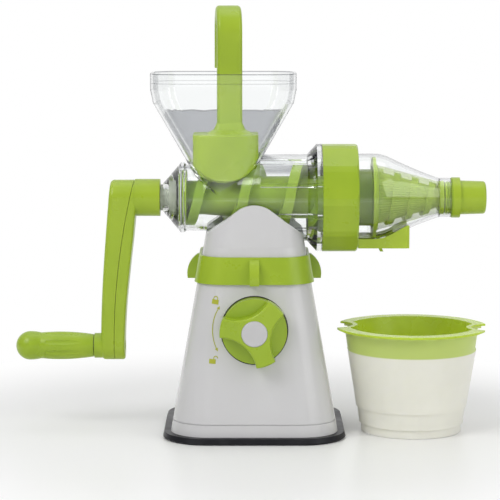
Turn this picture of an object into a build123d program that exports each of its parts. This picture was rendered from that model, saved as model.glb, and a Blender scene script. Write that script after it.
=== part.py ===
from build123d import *
import math
import os

# Manual wheatgrass juicer, in millimetres.
# +X points to the nozzle, -Y to the user (the side with the knob), +Z is up.
# The origin is on the table, at the middle of the rubber foot.

# ---- clearances -----------------------------------------------------------
SEAT_GAP = 0.1          # between pieces that are fixed to each other
SLIDE_GAP = 0.3         # between pieces that slide or turn past each other
RUN_GAP = 0.08          # radial play of a shaft in its bush
FACE_GAP = 0.5          # between end faces that turn past each other

# ---- rubber foot ----------------------------------------------------------
PAD_HALF = 72.0
PAD_CORNER = 34.0
PAD_THICK = 5.0
PAD_BEVEL = 1.2
PAD_HUB_RADIUS = 15.0
PAD_HUB_HEIGHT = 8.5

# ---- tower ----------------------------------------------------------------
TOWER_FOOT_HALF = 65.8
TOWER_SLOPE = 10.1      # degrees that each side leans in
TOWER_WALL = 2.8
TOWER_FOOT_CORNER = 30.0
TOWER_TOP_CORNER = 18.0
TOWER_NECK_Z = 150.0    # above this the front and back lean in less
TOWER_TOP_Z = 190.0
SKIRT_Z = 14.0
SKIRT_GROOVE = 0.8
ARCH_PEAK_Z = 183.0
ARCH_SLOPE = 38.0
ARCH_RADIUS = 22.3
ARCH_SHOULDER_X = 41.0

# ---- base plate and its screws --------------------------------------------
PLATE_THICK = 3.0
PLATE_DOME_RADIUS = 18.0
PLATE_DOME_HEIGHT = 16.0
PLATE_WALL = 2.5
GUIDE_LENGTH = 18.0
SCREW_SPACING = 88.0
SCREW_RADIUS = 1.9
SCREW_HEAD_RADIUS = 3.8
SCREW_HEAD_HEIGHT = 2.2
SCREW_LENGTH = 24.0
BOSS_RADIUS = 5.0
BOSS_HEIGHT = 42.0
BOSS_WEB = 2.4

# ---- clear juicer body: barrel and hopper ---------------------------------
AXIS_Z = 186.0          # height of the auger axis
NOSE_X = -72.4
NOSE_RADIUS = 11.5
CHAMBER_X = -57.0       # where the pressing chamber starts
CHAMBER_RADIUS = 26.5   # outer radius at its left end
NOSE_BULGE = 1.4
CONE_START_X = -40.0
CONE_END_X = 5.0
BARREL_RADIUS = 34.5
FLARE_X = 42.0
FLANGE_X = 49.3
FLANGE_RADIUS = 42.8
RING_X = 53.4           # right face of the flange
SPIGOT_END_X = 66.0
SPIGOT_RADIUS = 36.5
BARREL_WALL = 3.0
RIB_HEIGHT = 2.6
RIB_WIDTH = 2.4
RIB_COUNT = 8
PLUG_X = 2.0
PLUG_RADIUS = 15.0
PLUG_DEPTH = 14.0

HOPPER_X = -24.3
HOPPER_RIM_Z = 285.3
HOPPER_BAND = 12.8
HOPPER_RIM_WIDTH = 115.0
HOPPER_RIM_DEPTH = 80.0
HOPPER_RIM_CORNER = 24.0
HOPPER_SHOULDER_Z = 262.0
HOPPER_SHOULDER_WIDTH = 111.0
HOPPER_SHOULDER_DEPTH = 76.0
HOPPER_THROAT_Z = 203.0
HOPPER_THROAT_WIDTH = 42.6
HOPPER_THROAT_DEPTH = 56.0
HOPPER_THROAT_CORNER = 12.0
HOPPER_FOOT_Z = 190.0
HOPPER_FOOT_WIDTH = 14.0
HOPPER_FOOT_CORNER = 6.5
HOPPER_WALL = 2.2

# ---- bearing parts at the crank end ---------------------------------------
SHAFT_RADIUS = 6.0
BUSH_SLEEVE_RADIUS = 8.0
BUSH_FLANGE_RADIUS = 10.4
BUSH_FLANGE = 2.0
BEARING_X = -67.0
BEARING_RADIUS = 16.0
BEARING_LENGTH = 8.6
SEAL_RADIUS = 22.0
SEAL_BORE = 14.0
SEAL_THICK = 1.0

# ---- auger ----------------------------------------------------------------
DISC_THICK = 3.4
DISC_RADIUS = 22.1
CORE_START_RADIUS = 13.5
CORE_RADIUS = 17.0
FLIGHT_START_RADIUS = 22.0
FLIGHT_RADIUS = 27.6
FLIGHT_PITCH = 36.0
FLIGHT_THICK = 8.0      # along the axis
FLIGHT_TRIM = 4.0       # raw flights stand this far out before they are turned to size
FLIGHT_END_X = 82.0
COLLAR_END_X = 93.0
COLLAR_RADIUS = 22.5
TIP_PITCH = 14.0
TIP_FLIGHT_THICK = 5.0
TIP_CORE_DEPTH = 3.0
STUB_SQUARE = 8.5

# ---- nozzle housing, strainer and what holds them -------------------------
HOUSING_FLANGE_X = 66.6
HOUSING_FLANGE = 3.6
HOUSING_FLANGE_RADIUS = 39.0
HOUSING_RADIUS = 35.0
HOUSING_SHOULDER_X = 94.2
HOUSING_MID_X = 108.5
HOUSING_MID_RADIUS = 31.6
NECK_X = 147.0
NECK_RADIUS = 15.6
NECK_LENGTH = 9.2
NECK_END_X = NECK_X + NECK_LENGTH
HOUSING_WALL = 2.2
OUTLET_LENGTH = 15.0
OUTLET_WIDTH = 16.0
GASKET_BORE = 33.0

STRAINER_X = 96.0
STRAINER_RADIUS = 26.5
STRAINER_REACH = 1.0        # of the strainer's cone into the neck
STRAINER_END_X = NECK_X + STRAINER_REACH
TIP_SETBACK = 2.0           # of the auger's tip behind the strainer's end
TIP_END_X = STRAINER_END_X - TIP_SETBACK
STRAINER_END_RADIUS = 12.3
STRAINER_WALL = 1.2
STRAINER_FLANGE = 2.4
STRAINER_PLAY = 0.8     # between the mesh and the auger tip
STRAINER_SEAT = 0.4     # round the flange, in the housing
SLOT_ROWS = 5
SLOT_COUNT = 10
SLOT_WIDTH = 1.6
SLOT_LENGTH = 6.0
SLOT_MARGIN = 4.0       # plain wall at both ends of the slots

RING_END_X = 81.8
RING_RADIUS = 43.3
RING_FACETS = 10
RING_FACET_RADIUS = 44.1
RING_BEVEL = 1.6

TRAY_X = 82.4
TRAY_END_X = 123.1
TRAY_BLOCK_X = 112.6
TRAY_BOTTOM_Z = 146.8
TRAY_RIM_Z = 160.0
TRAY_BLOCK_Z = 170.6
TRAY_HALF_WIDTH = 15.0
TRAY_WALL = 2.0
TRAY_CORNER = 3.0
SPOUT_X = 93.6
SPOUT_TIP_X = 101.5
SPOUT_TOP_Z = 158.0
SPOUT_TIP_Z = 143.4
SPOUT_THICK = 2.6
SPOUT_WIDTH = 14.0

CAP_FLANGE = 6.2
CAP_FLANGE_RADIUS = 16.1
CAP_RADIUS = 13.6
CAP_LENGTH = 27.8
CAP_END_X = NECK_END_X + CAP_LENGTH
CAP_END_RADIUS = 12.9
CAP_ROUND = 2.0
CAP_PLUG_LENGTH = 6.0
THREAD_DEPTH = 1.0          # of the cap's thread, cut off with the neck's
CAP_BORE = 6.5
CAP_SEAL = 1.0

# ---- crank ----------------------------------------------------------------
HUB_RADIUS = 14.8
HUB_LENGTH = 20.0
ARM_THROW = 119.4       # from the auger axis down to the grip axis
ARM_ROUND = 3.5
ARM_INNER_ROUND = 2.0
ARM_TOP_RADIUS = 14.2
ARM_LOW_RADIUS = 11.2
ARM_OUTER_TOP_X = -114.4
ARM_OUTER_MID_X = -118.9
ARM_OUTER_LOW_X = -122.4
ARM_INNER_HIGH_X = -92.8
ARM_INNER_MID_X = -97.3
ARM_INNER_LOW_X = -103.3
ARM_SEAM_HIGH_X = -95.4
ARM_SEAM_MID_X = -106.2
ARM_SEAM_LOW_X = -111.8
ARM_MID_Z = 145.0
ARM_LOW_Z = 80.0
SEAM_GAP = 0.35
PIN_RADIUS = 4.0
BOSS_X = -128.2
GRIP_BOSS_RADIUS = 10.0

# ---- turning grip ---------------------------------------------------------
GRIP_X = -128.8
GRIP_START_RADIUS = 9.0
GRIP_RADIUS = 11.5
GRIP_WAIST_X = -171.0
GRIP_FLUTE_END_X = -167.0
GRIP_END_X = -191.3
GRIP_WAIST_RADIUS = 10.4
GRIP_SIDE_RADIUS = 11.0   # half way along the flutes
FLUTE_COUNT = 8
FLUTE_RADIUS = 3.2
FLUTE_DEPTH = 1.3
FLUTE_SETBACK = 5.0     # smooth part at the arm
PIN_HEAD_RADIUS = 5.6
PIN_HEAD_LENGTH = 4.0
PIN_END_X = -182.0

# ---- knob and suction mechanism -------------------------------------------
KNOB_Z = 87.0
KNOB_RADIUS = 25.4
KNOB_REACH = 27.0
KNOB_FACE_Y = -70.5
KNOB_DISC_Y = -57.6
KNOB_FLOOR_Y = -44.5
KNOB_WAIST = 13.0
KNOB_SCALLOP = 29.1
KNOB_ARM_ANGLE = 50.0
KNOB_ARMS = 3
KNOB_ROUND = 1.6
KNOB_SEAL_WALL = 0.7
CAP_DISC_RADIUS = 10.1
CAP_DISC_THICK = 3.4
CAP_DISC_PROUD = 0.4
KNOB_SHAFT_RADIUS = 4.0
KNOB_SHAFT_GRIP = 16.0
KNOB_BUSH_RADIUS = 7.0
KNOB_BUSH_FLANGE_RADIUS = 9.0
KNOB_BUSH_LENGTH = 9.0   # of the wide part behind the tower wall
CAM_RADIUS = 11.0
CAM_THICK = 5.0
CAM_OFFSET = 6.0
CAM_REST_ANGLE = 171.5  # where the pin stands at rest, seen from the user
CAM_HALF_TURN = 36.5    # the pin swings this far above and below level
CAM_PIN_RADIUS = 2.5
YOKE_THICK = 6.6
YOKE_WALL = 3.6
YOKE_RIGHT_X = 7.0
ROD_RADIUS = 3.2
ROD_FOOT_RADIUS = 10.0
ROD_FOOT_THICK = 2.0
ROD_FOOT_Z = 9.0

# ---- locking collar -------------------------------------------------------
COLLAR_Z = 122.0
COLLAR_HEIGHT = 21.0
COLLAR_WALL = 2.0
TAB_WIDTH = 7.5
TAB_REACH = 5.8
TAB_TOP_REACH = 1.2
TAB_BOTTOM_Z = 121.7
TAB_HEIGHT = 19.4

# ---- pusher ---------------------------------------------------------------
PUSHER_X = -22.6
PUSHER_HEAD_WIDTH = 51.8
PUSHER_HEAD_DEPTH = 45.0
PUSHER_HEAD_TOP_Z = 237.0
PUSHER_BELLY_Z = 217.0
PUSHER_BELLY_DROP = 20.0
PUSHER_HEAD_CORNER = 6.0
PUSHER_WALL_PLAY = 0.5
PUSHER_AUGER_PLAY = 1.2
STEM_X = -19.6
STEM_WIDTH = 20.0
STEM_THICK = 11.0
STEM_CORNER = 3.0
STEM_FLARE = 9.0
FLARE_CORNER = 7.0
FLARE_MID_HEIGHT = 3.2  # the flare's concave sides are drawn in at this height
FLARE_MID_REACH = 5.4
FLARE_MID_CORNER = 4.5
HOOK_TOP_Z = 338.0
HOOK_GAP = 22.0
HOOK_END_Z = 288.0
HOOK_YAW = 4.0

# ---- juice cup ------------------------------------------------------------
CUP_X = 125.8
CUP_Y = -9.0
CUP_HEIGHT = 84.0
CUP_TOP_RADIUS = 54.0
CUP_FOOT_RADIUS = 41.5
CUP_WALL = 1.8
CUP_FLOOR = 2.4
CUP_STEP_Z = 20.0
CUP_STEP = 0.9
CUP_FOOT_Z = 7.0
CUP_FOOT_STEP = 1.6
CUP_FLANGE_RADIUS = 60.5
CUP_FLANGE = 1.6
CUP_BODY_FLANGE_RADIUS = 57.0
CUP_RIM_HEIGHT = 19.0
NOTCH_RADIUS = 17.0
NOTCH_CENTRE = 64.0
NOTCH_FLOOR_Z = 66.0
NOTCH_ANGLE = 173.0

# ---- sizes that follow from the ones above --------------------------------
CHAMBER_BORE = CHAMBER_RADIUS - BARREL_WALL
BARREL_BORE = BARREL_RADIUS - BARREL_WALL
SADDLE_GAP = 2 * SEAT_GAP
HOUSING_BORE = HOUSING_RADIUS - HOUSING_WALL
NECK_BORE = NECK_RADIUS - HOUSING_WALL
RING_BORE = HOUSING_FLANGE_RADIUS + SLIDE_GAP
CUT = 1.0               # how far a cutting solid runs past the face that it cuts


def lean(z):
    """How far a leaning tower side has come in at height z."""
    return math.tan(math.radians(TOWER_SLOPE)) * (z - PAD_THICK)


def tower_half(z):
    return TOWER_FOOT_HALF - lean(z)


def tower_corner(z):
    share = (z - PAD_THICK) / (TOWER_TOP_Z - PAD_THICK)
    return TOWER_FOOT_CORNER + (TOWER_TOP_CORNER - TOWER_FOOT_CORNER) * share


def tower_depth(z):
    """Half depth of the tower: the panels beside the barrel stand steeper."""
    if z <= TOWER_NECK_Z:
        return tower_half(z)
    top = BARREL_RADIUS + SADDLE_GAP + TOWER_WALL
    share = (z - TOWER_NECK_Z) / (TOWER_TOP_Z - TOWER_NECK_Z)
    return tower_half(TOWER_NECK_Z) * (1 - share) + top * share


def rounded(width, depth, corner, z, x=0.0, y=0.0):
    return Pos(x, y, z) * RectangleRounded(width, depth, corner)


def tower_envelope(offset, levels):
    """The tower's outside, moved out by offset, through the given heights."""
    sections = []
    for z in levels:
        width = 2 * (tower_half(z) + offset)
        depth = 2 * (tower_depth(z) + offset)
        sections.append(rounded(width, depth, tower_corner(z) + offset, z))
    return loft(sections, ruled=True)


def turned_x(points, z=AXIS_Z):
    """Turn a closed outline of (x, radius) points about the auger axis."""
    outline = make_face(Polyline(*points, close=True).edges())
    return Pos(0, 0, z) * revolve(outline, Axis.X)


def turned_y(points, x=0.0, z=KNOB_Z):
    """Turn a closed outline of (y, radius) points about an axis along Y."""
    flipped = [(radius, y) for y, radius in points]
    outline = make_face(Polyline(*flipped, close=True).edges())
    return Pos(x, 0, z) * revolve(outline, Axis.Y)


def turned_z(points, x=0.0, y=0.0):
    """Turn a closed outline of (radius, z) points about an upright axis."""
    outline = make_face(Polyline(*[(r, 0, z) for r, z in points], close=True).edges())
    return Pos(x, y, 0) * revolve(outline, Axis.Z)


def bar_x(radius, x0, x1, y=0.0, z=AXIS_Z):
    return Pos((x0 + x1) / 2, y, z) * Rot(0, 90, 0) * Cylinder(radius, abs(x1 - x0))


def bar_y(radius, y0, y1, x=0.0, z=KNOB_Z):
    return Pos(x, (y0 + y1) / 2, z) * Rot(90, 0, 0) * Cylinder(radius, abs(y1 - y0))


def bar_z(radius, z0, z1, x=0.0, y=0.0):
    return Pos(x, y, (z0 + z1) / 2) * Cylinder(radius, abs(z1 - z0))


def block(x0, x1, y0, y1, z0, z1):
    centre = Pos((x0 + x1) / 2, (y0 + y1) / 2, (z0 + z1) / 2)
    return centre * Box(x1 - x0, y1 - y0, z1 - z0)


def plate_xz(points, y0, y1):
    """An outline of (x, z) points, as a plate between two depths."""
    outline = make_face(Polyline(*[(x, 0, z) for x, z in points], close=True).edges())
    return Pos(0, y0, 0) * extrude(outline, amount=y1 - y0, dir=(0, 1, 0))


# ---- suction foot and tower -----------------------------------------------
def suction_pad():
    foot = loft([
        rounded(2 * (PAD_HALF - PAD_BEVEL), 2 * (PAD_HALF - PAD_BEVEL), PAD_CORNER, 0),
        rounded(2 * PAD_HALF, 2 * PAD_HALF, PAD_CORNER + PAD_BEVEL, PAD_BEVEL),
        rounded(2 * (PAD_HALF - PAD_BEVEL), 2 * (PAD_HALF - PAD_BEVEL), PAD_CORNER, PAD_THICK),
    ], ruled=True)
    hub = bar_z(PAD_HUB_RADIUS, PAD_THICK, PAD_THICK + PAD_HUB_HEIGHT)
    foot_room = bar_z(ROD_FOOT_RADIUS + SLIDE_GAP, ROD_FOOT_Z - SEAT_GAP,
                      ROD_FOOT_Z + ROD_FOOT_THICK + SEAT_GAP)
    rod_room = bar_z(ROD_RADIUS + SLIDE_GAP, ROD_FOOT_Z, PAD_THICK + PAD_HUB_HEIGHT + CUT)
    return foot + hub - foot_room - rod_room


def screw_places():
    half = SCREW_SPACING / 2
    return [(x, y) for x in (-half, half) for y in (-half, half)]


def base_plate():
    half = tower_half(PAD_THICK) - TOWER_WALL - SEAT_GAP - lean(PAD_THICK + PLATE_THICK)
    corner = TOWER_FOOT_CORNER - TOWER_WALL
    plate = extrude(rounded(2 * half, 2 * half, corner, PAD_THICK), amount=PLATE_THICK)
    top = PAD_THICK + PLATE_DOME_HEIGHT
    outer = PLATE_DOME_RADIUS + PLATE_WALL
    guide_bore = ROD_RADIUS + SLIDE_GAP
    guide = guide_bore + PLATE_WALL
    dome = turned_z([(PLATE_DOME_RADIUS, PAD_THICK), (outer, PAD_THICK), (outer, top),
                     (guide, top), (guide, top + GUIDE_LENGTH),
                     (guide_bore, top + GUIDE_LENGTH), (guide_bore, top - PLATE_WALL),
                     (PLATE_DOME_RADIUS, top - PLATE_WALL)])
    plate = plate - bar_z(PLATE_DOME_RADIUS, 0, top) + dome
    for x, y in screw_places():
        plate = plate - bar_z(SCREW_HEAD_RADIUS + SEAT_GAP, 0, PAD_THICK + SCREW_HEAD_HEIGHT, x, y)
        plate = plate - bar_z(SCREW_RADIUS + SEAT_GAP, 0, top, x, y)
    return plate


def base_screws():
    screws = []
    for x, y in screw_places():
        head_top = PAD_THICK + SCREW_HEAD_HEIGHT
        head = bar_z(SCREW_HEAD_RADIUS, PAD_THICK, head_top, x, y)
        shank = bar_z(SCREW_RADIUS, head_top, head_top + SCREW_LENGTH, x, y)
        screws.append(head + shank)
    return Compound(children=screws)


def arch(offset):
    """The front view of the tower: a rounded arch on wide shoulders."""
    slope = math.radians(ARCH_SLOPE)
    radius = ARCH_RADIUS - offset
    tip_z = ARCH_PEAK_Z - offset + radius * (1 / math.cos(slope) - 1)
    shoulder_z = tip_z - ARCH_SHOULDER_X * math.tan(slope)
    side = PAD_HALF + CUT
    touch_x = radius * math.sin(slope)
    touch_z = tip_z - touch_x * math.tan(slope)
    top = ThreePointArc((touch_x, 0, touch_z), (0, 0, ARCH_PEAK_Z - offset),
                        (-touch_x, 0, touch_z))
    left = Polyline((-touch_x, 0, touch_z), (-ARCH_SHOULDER_X, 0, shoulder_z),
                    (-side, 0, shoulder_z), (-side, 0, -CUT), (side, 0, -CUT),
                    (side, 0, shoulder_z), (ARCH_SHOULDER_X, 0, shoulder_z),
                    (touch_x, 0, touch_z))
    outline = make_face(top.edges() + left.edges())
    return Pos(0, -side, 0) * extrude(outline, amount=2 * side, dir=(0, 1, 0))


def barrel_envelope(offset):
    """The outside of the barrel, moved out by offset, to cut its seat."""
    return turned_x([(NOSE_X, 0), (NOSE_X, CHAMBER_RADIUS + offset),
                     (CONE_START_X, CHAMBER_RADIUS + offset),
                     (CONE_END_X, BARREL_RADIUS + offset),
                     (FLARE_X, BARREL_RADIUS + offset),
                     (FLANGE_X, FLANGE_RADIUS + offset),
                     (RING_END_X, FLANGE_RADIUS + offset), (RING_END_X, 0)])


def tower_shell():
    levels = [PAD_THICK, TOWER_NECK_Z, TOWER_TOP_Z]
    outer = tower_envelope(0, levels) & arch(0)
    levels = [PAD_THICK - CUT, TOWER_NECK_Z, TOWER_TOP_Z]
    cavity = tower_envelope(-TOWER_WALL, levels) & arch(TOWER_WALL)
    cavity = cavity - barrel_envelope(SADDLE_GAP + TOWER_WALL)
    knob_well = KNOB_RADIUS + SLIDE_GAP + KNOB_SEAL_WALL
    knob_boss = bar_y(knob_well + TOWER_WALL, KNOB_FACE_Y, KNOB_FLOOR_Y + TOWER_WALL)
    floor_z = PAD_THICK + PLATE_THICK
    bosses = [bar_z(BOSS_RADIUS, floor_z, BOSS_HEIGHT, x, y) for x, y in screw_places()]
    for x, y in screw_places():
        reach = math.hypot(x, y)
        web = block(reach, TOWER_FOOT_HALF * math.sqrt(2), -BOSS_WEB / 2, BOSS_WEB / 2,
                    floor_z, BOSS_HEIGHT)
        bosses.append(Rot(0, 0, math.degrees(math.atan2(y, x))) * web)
    cavity = cavity - knob_boss - bosses
    shell = outer - cavity - barrel_envelope(SADDLE_GAP)
    shell = shell - bar_y(knob_well, KNOB_FACE_Y, KNOB_FLOOR_Y)
    shell = shell - bar_y(KNOB_BUSH_RADIUS, KNOB_FACE_Y, 0)
    shell = shell - bar_z(PLUG_RADIUS + SLIDE_GAP, AXIS_Z - BARREL_RADIUS - PLUG_DEPTH - CUT,
                          AXIS_Z, PLUG_X)
    for x, y in screw_places():
        shell = shell - bar_z(SCREW_RADIUS + SEAT_GAP, 0,
                              PAD_THICK + SCREW_HEAD_HEIGHT + SCREW_LENGTH + CUT, x, y)
    levels = [SKIRT_Z, SKIRT_Z + SKIRT_GROOVE]
    groove = tower_envelope(CUT, levels) - tower_envelope(-SKIRT_GROOVE, levels)
    return shell - groove


# ---- knob and suction mechanism -------------------------------------------
def knob_seal():
    bore = KNOB_RADIUS + SLIDE_GAP
    ring = bar_y(bore + KNOB_SEAL_WALL, KNOB_FACE_Y, KNOB_FLOOR_Y)
    ring = ring - bar_y(bore, KNOB_FACE_Y - CUT, KNOB_FLOOR_Y + CUT)
    return ring & tower_envelope(0, [PAD_THICK, TOWER_NECK_Z])


def knob_bush():
    inner = KNOB_SHAFT_RADIUS + RUN_GAP
    back = KNOB_FLOOR_Y + TOWER_WALL
    end = back + KNOB_BUSH_LENGTH
    return turned_y([(KNOB_FLOOR_Y, inner), (KNOB_FLOOR_Y, KNOB_BUSH_RADIUS),
                     (back, KNOB_BUSH_RADIUS), (back, KNOB_BUSH_FLANGE_RADIUS),
                     (end, KNOB_BUSH_FLANGE_RADIUS), (end, inner)])


def knob():
    disc = bar_y(KNOB_RADIUS, KNOB_DISC_Y, KNOB_FLOOR_Y - FACE_GAP)
    star = Circle(KNOB_REACH)
    step = 360 / KNOB_ARMS
    for arm in range(KNOB_ARMS):
        angle = math.radians(KNOB_ARM_ANGLE + step * (arm + 0.5))
        reach = KNOB_WAIST + KNOB_SCALLOP
        star = star - Pos(reach * math.cos(angle), reach * math.sin(angle)) * Circle(KNOB_SCALLOP)
    front = Plane(origin=(0, KNOB_DISC_Y, KNOB_Z), x_dir=(1, 0, 0), z_dir=(0, -1, 0))
    arms = extrude(front * star, amount=KNOB_DISC_Y - KNOB_FACE_Y)
    arms = fillet(arms.faces().sort_by(Axis.Y)[0].edges(), KNOB_ROUND)
    body = disc + arms
    pocket_y = KNOB_FACE_Y + CAP_DISC_THICK - CAP_DISC_PROUD
    body = body - bar_y(CAP_DISC_RADIUS + SEAT_GAP, KNOB_FACE_Y - CUT, pocket_y)
    shaft_y = KNOB_FLOOR_Y - FACE_GAP - KNOB_SHAFT_GRIP
    return body - bar_y(KNOB_SHAFT_RADIUS, shaft_y, KNOB_FLOOR_Y)


def knob_cap():
    front = KNOB_FACE_Y - CAP_DISC_PROUD
    cap = bar_y(CAP_DISC_RADIUS, front, front + CAP_DISC_THICK)
    return fillet(cap.faces().sort_by(Axis.Y)[0].edges(), KNOB_ROUND / 2)


def cam_back_y():
    return -YOKE_THICK / 2 - FACE_GAP


def knob_shaft():
    front = KNOB_FLOOR_Y - FACE_GAP - KNOB_SHAFT_GRIP
    return bar_y(KNOB_SHAFT_RADIUS, front, cam_back_y() - CAM_THICK / 2)


def cam_pin_place():
    angle = math.radians(CAM_REST_ANGLE)
    return CAM_OFFSET * math.cos(angle), KNOB_Z + CAM_OFFSET * math.sin(angle)


def cam_disc():
    front = cam_back_y() - CAM_THICK
    x, z = cam_pin_place()
    disc = bar_y(CAM_RADIUS, front, cam_back_y())
    disc = disc - bar_y(KNOB_SHAFT_RADIUS, front - CUT, cam_back_y() - CAM_THICK / 2)
    return disc - bar_y(CAM_PIN_RADIUS, cam_back_y() - CAM_THICK / 2, 0, x, z)


def cam_pin():
    x, z = cam_pin_place()
    return bar_y(CAM_PIN_RADIUS, cam_back_y() - CAM_THICK / 2, YOKE_THICK / 2 + FACE_GAP, x, z)


def pull_rod():
    """Slotted yoke on a rod: the pin on the cam lifts it as the knob turns."""
    x, z = cam_pin_place()
    reach = CAM_PIN_RADIUS + SLIDE_GAP
    left = -CAM_OFFSET - reach - SLIDE_GAP
    right = -CAM_OFFSET * math.cos(math.radians(CAM_HALF_TURN)) + reach + SLIDE_GAP
    half = YOKE_THICK / 2
    yoke = block(left - YOKE_WALL, YOKE_RIGHT_X, -half, half,
                 z - reach - YOKE_WALL, z + reach + YOKE_WALL)
    slot = block(left, right, -half - CUT, half + CUT, z - reach, z + reach)
    rod = bar_z(ROD_RADIUS, ROD_FOOT_Z + ROD_FOOT_THICK, z - reach - YOKE_WALL / 2)
    return yoke - slot + rod


def rod_foot():
    return bar_z(ROD_FOOT_RADIUS, ROD_FOOT_Z, ROD_FOOT_Z + ROD_FOOT_THICK)


# ---- locking collar -------------------------------------------------------
def lock_collar():
    levels = [COLLAR_Z, COLLAR_Z + COLLAR_HEIGHT]
    band = tower_envelope(SLIDE_GAP + COLLAR_WALL, levels) - tower_envelope(SLIDE_GAP, levels)
    inner = tower_half(TAB_BOTTOM_Z) + SLIDE_GAP
    outer = tower_half(TAB_BOTTOM_Z) + SLIDE_GAP + COLLAR_WALL + TAB_REACH
    top_z = TAB_BOTTOM_Z + TAB_HEIGHT
    crown = tower_half(top_z) + SLIDE_GAP + COLLAR_WALL + TAB_TOP_REACH
    low = (outer, 0, TAB_BOTTOM_Z)
    bend = (outer - TAB_REACH / 3, 0, top_z - TAB_HEIGHT / 3)
    curve = ThreePointArc(low, bend, (crown, 0, top_z))
    rest = Polyline((crown, 0, top_z), (tower_half(top_z), 0, top_z),
                    (inner - CUT, 0, TAB_BOTTOM_Z), low)
    outline = make_face(curve.edges() + rest.edges())
    tab = extrude(outline, amount=TAB_WIDTH / 2, dir=(0, 1, 0), both=True)
    tabs = [Rot(0, 0, 90 * side) * tab for side in range(4)]
    tabs = (tabs[0] + tabs[1:]) - tower_envelope(SLIDE_GAP, [TAB_BOTTOM_Z - CUT, top_z + CUT])
    return band + tabs


# ---- clear juicer body ----------------------------------------------------
def hopper_block(wall):
    """The hopper's outside, or its inside for a wall, as a solid block."""
    cut = 2 * wall
    lip_z = HOPPER_RIM_Z - HOPPER_BAND
    rim = (HOPPER_RIM_WIDTH - cut, HOPPER_RIM_DEPTH - cut, HOPPER_RIM_CORNER - wall)
    foot_wall = min(wall, HOPPER_FOOT_CORNER / 2)
    rise = HOPPER_SHOULDER_Z - HOPPER_THROAT_Z
    run = (HOPPER_SHOULDER_WIDTH - HOPPER_THROAT_WIDTH) / 2
    slant_cut = cut * math.hypot(rise, run) / rise
    sections = [
        rounded(*rim, HOPPER_RIM_Z + (CUT if wall else 0), HOPPER_X),
        rounded(*rim, lip_z, HOPPER_X),
        rounded(HOPPER_SHOULDER_WIDTH - cut, HOPPER_SHOULDER_DEPTH - cut,
                HOPPER_RIM_CORNER - wall, HOPPER_SHOULDER_Z, HOPPER_X),
        rounded(HOPPER_THROAT_WIDTH - slant_cut, HOPPER_THROAT_DEPTH - cut,
                HOPPER_THROAT_CORNER - wall, HOPPER_THROAT_Z, HOPPER_X),
        rounded(HOPPER_FOOT_WIDTH, HOPPER_THROAT_DEPTH - cut,
                HOPPER_FOOT_CORNER - foot_wall, HOPPER_FOOT_Z, HOPPER_X),
    ]
    return loft(sections, ruled=True)


def chamber_profile(wall, play):
    """Points of the pressing chamber's bore, drawn in by play for the auger."""
    return [(CHAMBER_X, CHAMBER_RADIUS - wall - play),
            (CONE_START_X, CHAMBER_RADIUS - wall - play),
            (CONE_END_X, BARREL_RADIUS - wall - play)]


def juicer_body():
    outer = turned_x([(NOSE_X, 0), (NOSE_X, NOSE_RADIUS),
                      (CHAMBER_X - NOSE_BULGE, CHAMBER_RADIUS + NOSE_BULGE),
                      (CHAMBER_X + NOSE_BULGE, CHAMBER_RADIUS + NOSE_BULGE),
                      (CHAMBER_X + 2 * NOSE_BULGE, CHAMBER_RADIUS),
                      (CONE_START_X, CHAMBER_RADIUS), (CONE_END_X, BARREL_RADIUS),
                      (FLARE_X, BARREL_RADIUS), (FLANGE_X, FLANGE_RADIUS),
                      (RING_X, FLANGE_RADIUS), (RING_X, SPIGOT_RADIUS),
                      (SPIGOT_END_X, SPIGOT_RADIUS), (SPIGOT_END_X, 0)])
    plug = bar_z(PLUG_RADIUS, AXIS_Z - BARREL_RADIUS - PLUG_DEPTH, AXIS_Z, PLUG_X)
    bearing_end = BEARING_X + BEARING_LENGTH
    bore = turned_x([(NOSE_X - CUT, 0), (NOSE_X - CUT, BUSH_SLEEVE_RADIUS + SEAT_GAP),
                     (BEARING_X - SEAT_GAP, BUSH_SLEEVE_RADIUS + SEAT_GAP),
                     (BEARING_X - SEAT_GAP, BEARING_RADIUS + SEAT_GAP),
                     (bearing_end, BEARING_RADIUS + SEAT_GAP),
                     (bearing_end, CHAMBER_BORE)]
                    + chamber_profile(BARREL_WALL, 0)
                    + [(SPIGOT_END_X + CUT, BARREL_BORE), (SPIGOT_END_X + CUT, 0)])
    ribs = []
    rib_bore = BARREL_BORE - RIB_HEIGHT
    for index in range(RIB_COUNT):
        rib = block(CONE_END_X, SPIGOT_END_X, -RIB_WIDTH / 2, RIB_WIDTH / 2,
                    rib_bore, BARREL_BORE + BARREL_WALL / 2)
        ribs.append(Pos(0, 0, AXIS_Z) * Rot(360 * (index + 0.5) / RIB_COUNT, 0, 0) * rib)
    body = outer + plug + hopper_block(0)
    return body - bore - hopper_block(HOPPER_WALL) + ribs


def shaft_bush():
    inner = SHAFT_RADIUS + RUN_GAP
    flange_x = NOSE_X - BUSH_FLANGE
    return turned_x([(flange_x, inner), (flange_x, BUSH_FLANGE_RADIUS),
                     (NOSE_X, BUSH_FLANGE_RADIUS), (NOSE_X, BUSH_SLEEVE_RADIUS),
                     (BEARING_X - SEAT_GAP, BUSH_SLEEVE_RADIUS), (BEARING_X - SEAT_GAP, inner)])


def rear_bearing():
    inner = SHAFT_RADIUS + RUN_GAP
    end = BEARING_X + BEARING_LENGTH - SEAT_GAP
    return turned_x([(BEARING_X, inner), (BEARING_X, BEARING_RADIUS),
                     (end, BEARING_RADIUS), (end, inner)])


def shaft_seal():
    start = BEARING_X + BEARING_LENGTH
    return turned_x([(start, SHAFT_RADIUS + RUN_GAP), (start, SEAL_RADIUS),
                     (start + SEAL_THICK, SEAL_RADIUS), (start + SEAL_THICK, SEAL_BORE),
                     (start + SEAL_THICK / 2, SHAFT_RADIUS + RUN_GAP)])


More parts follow.
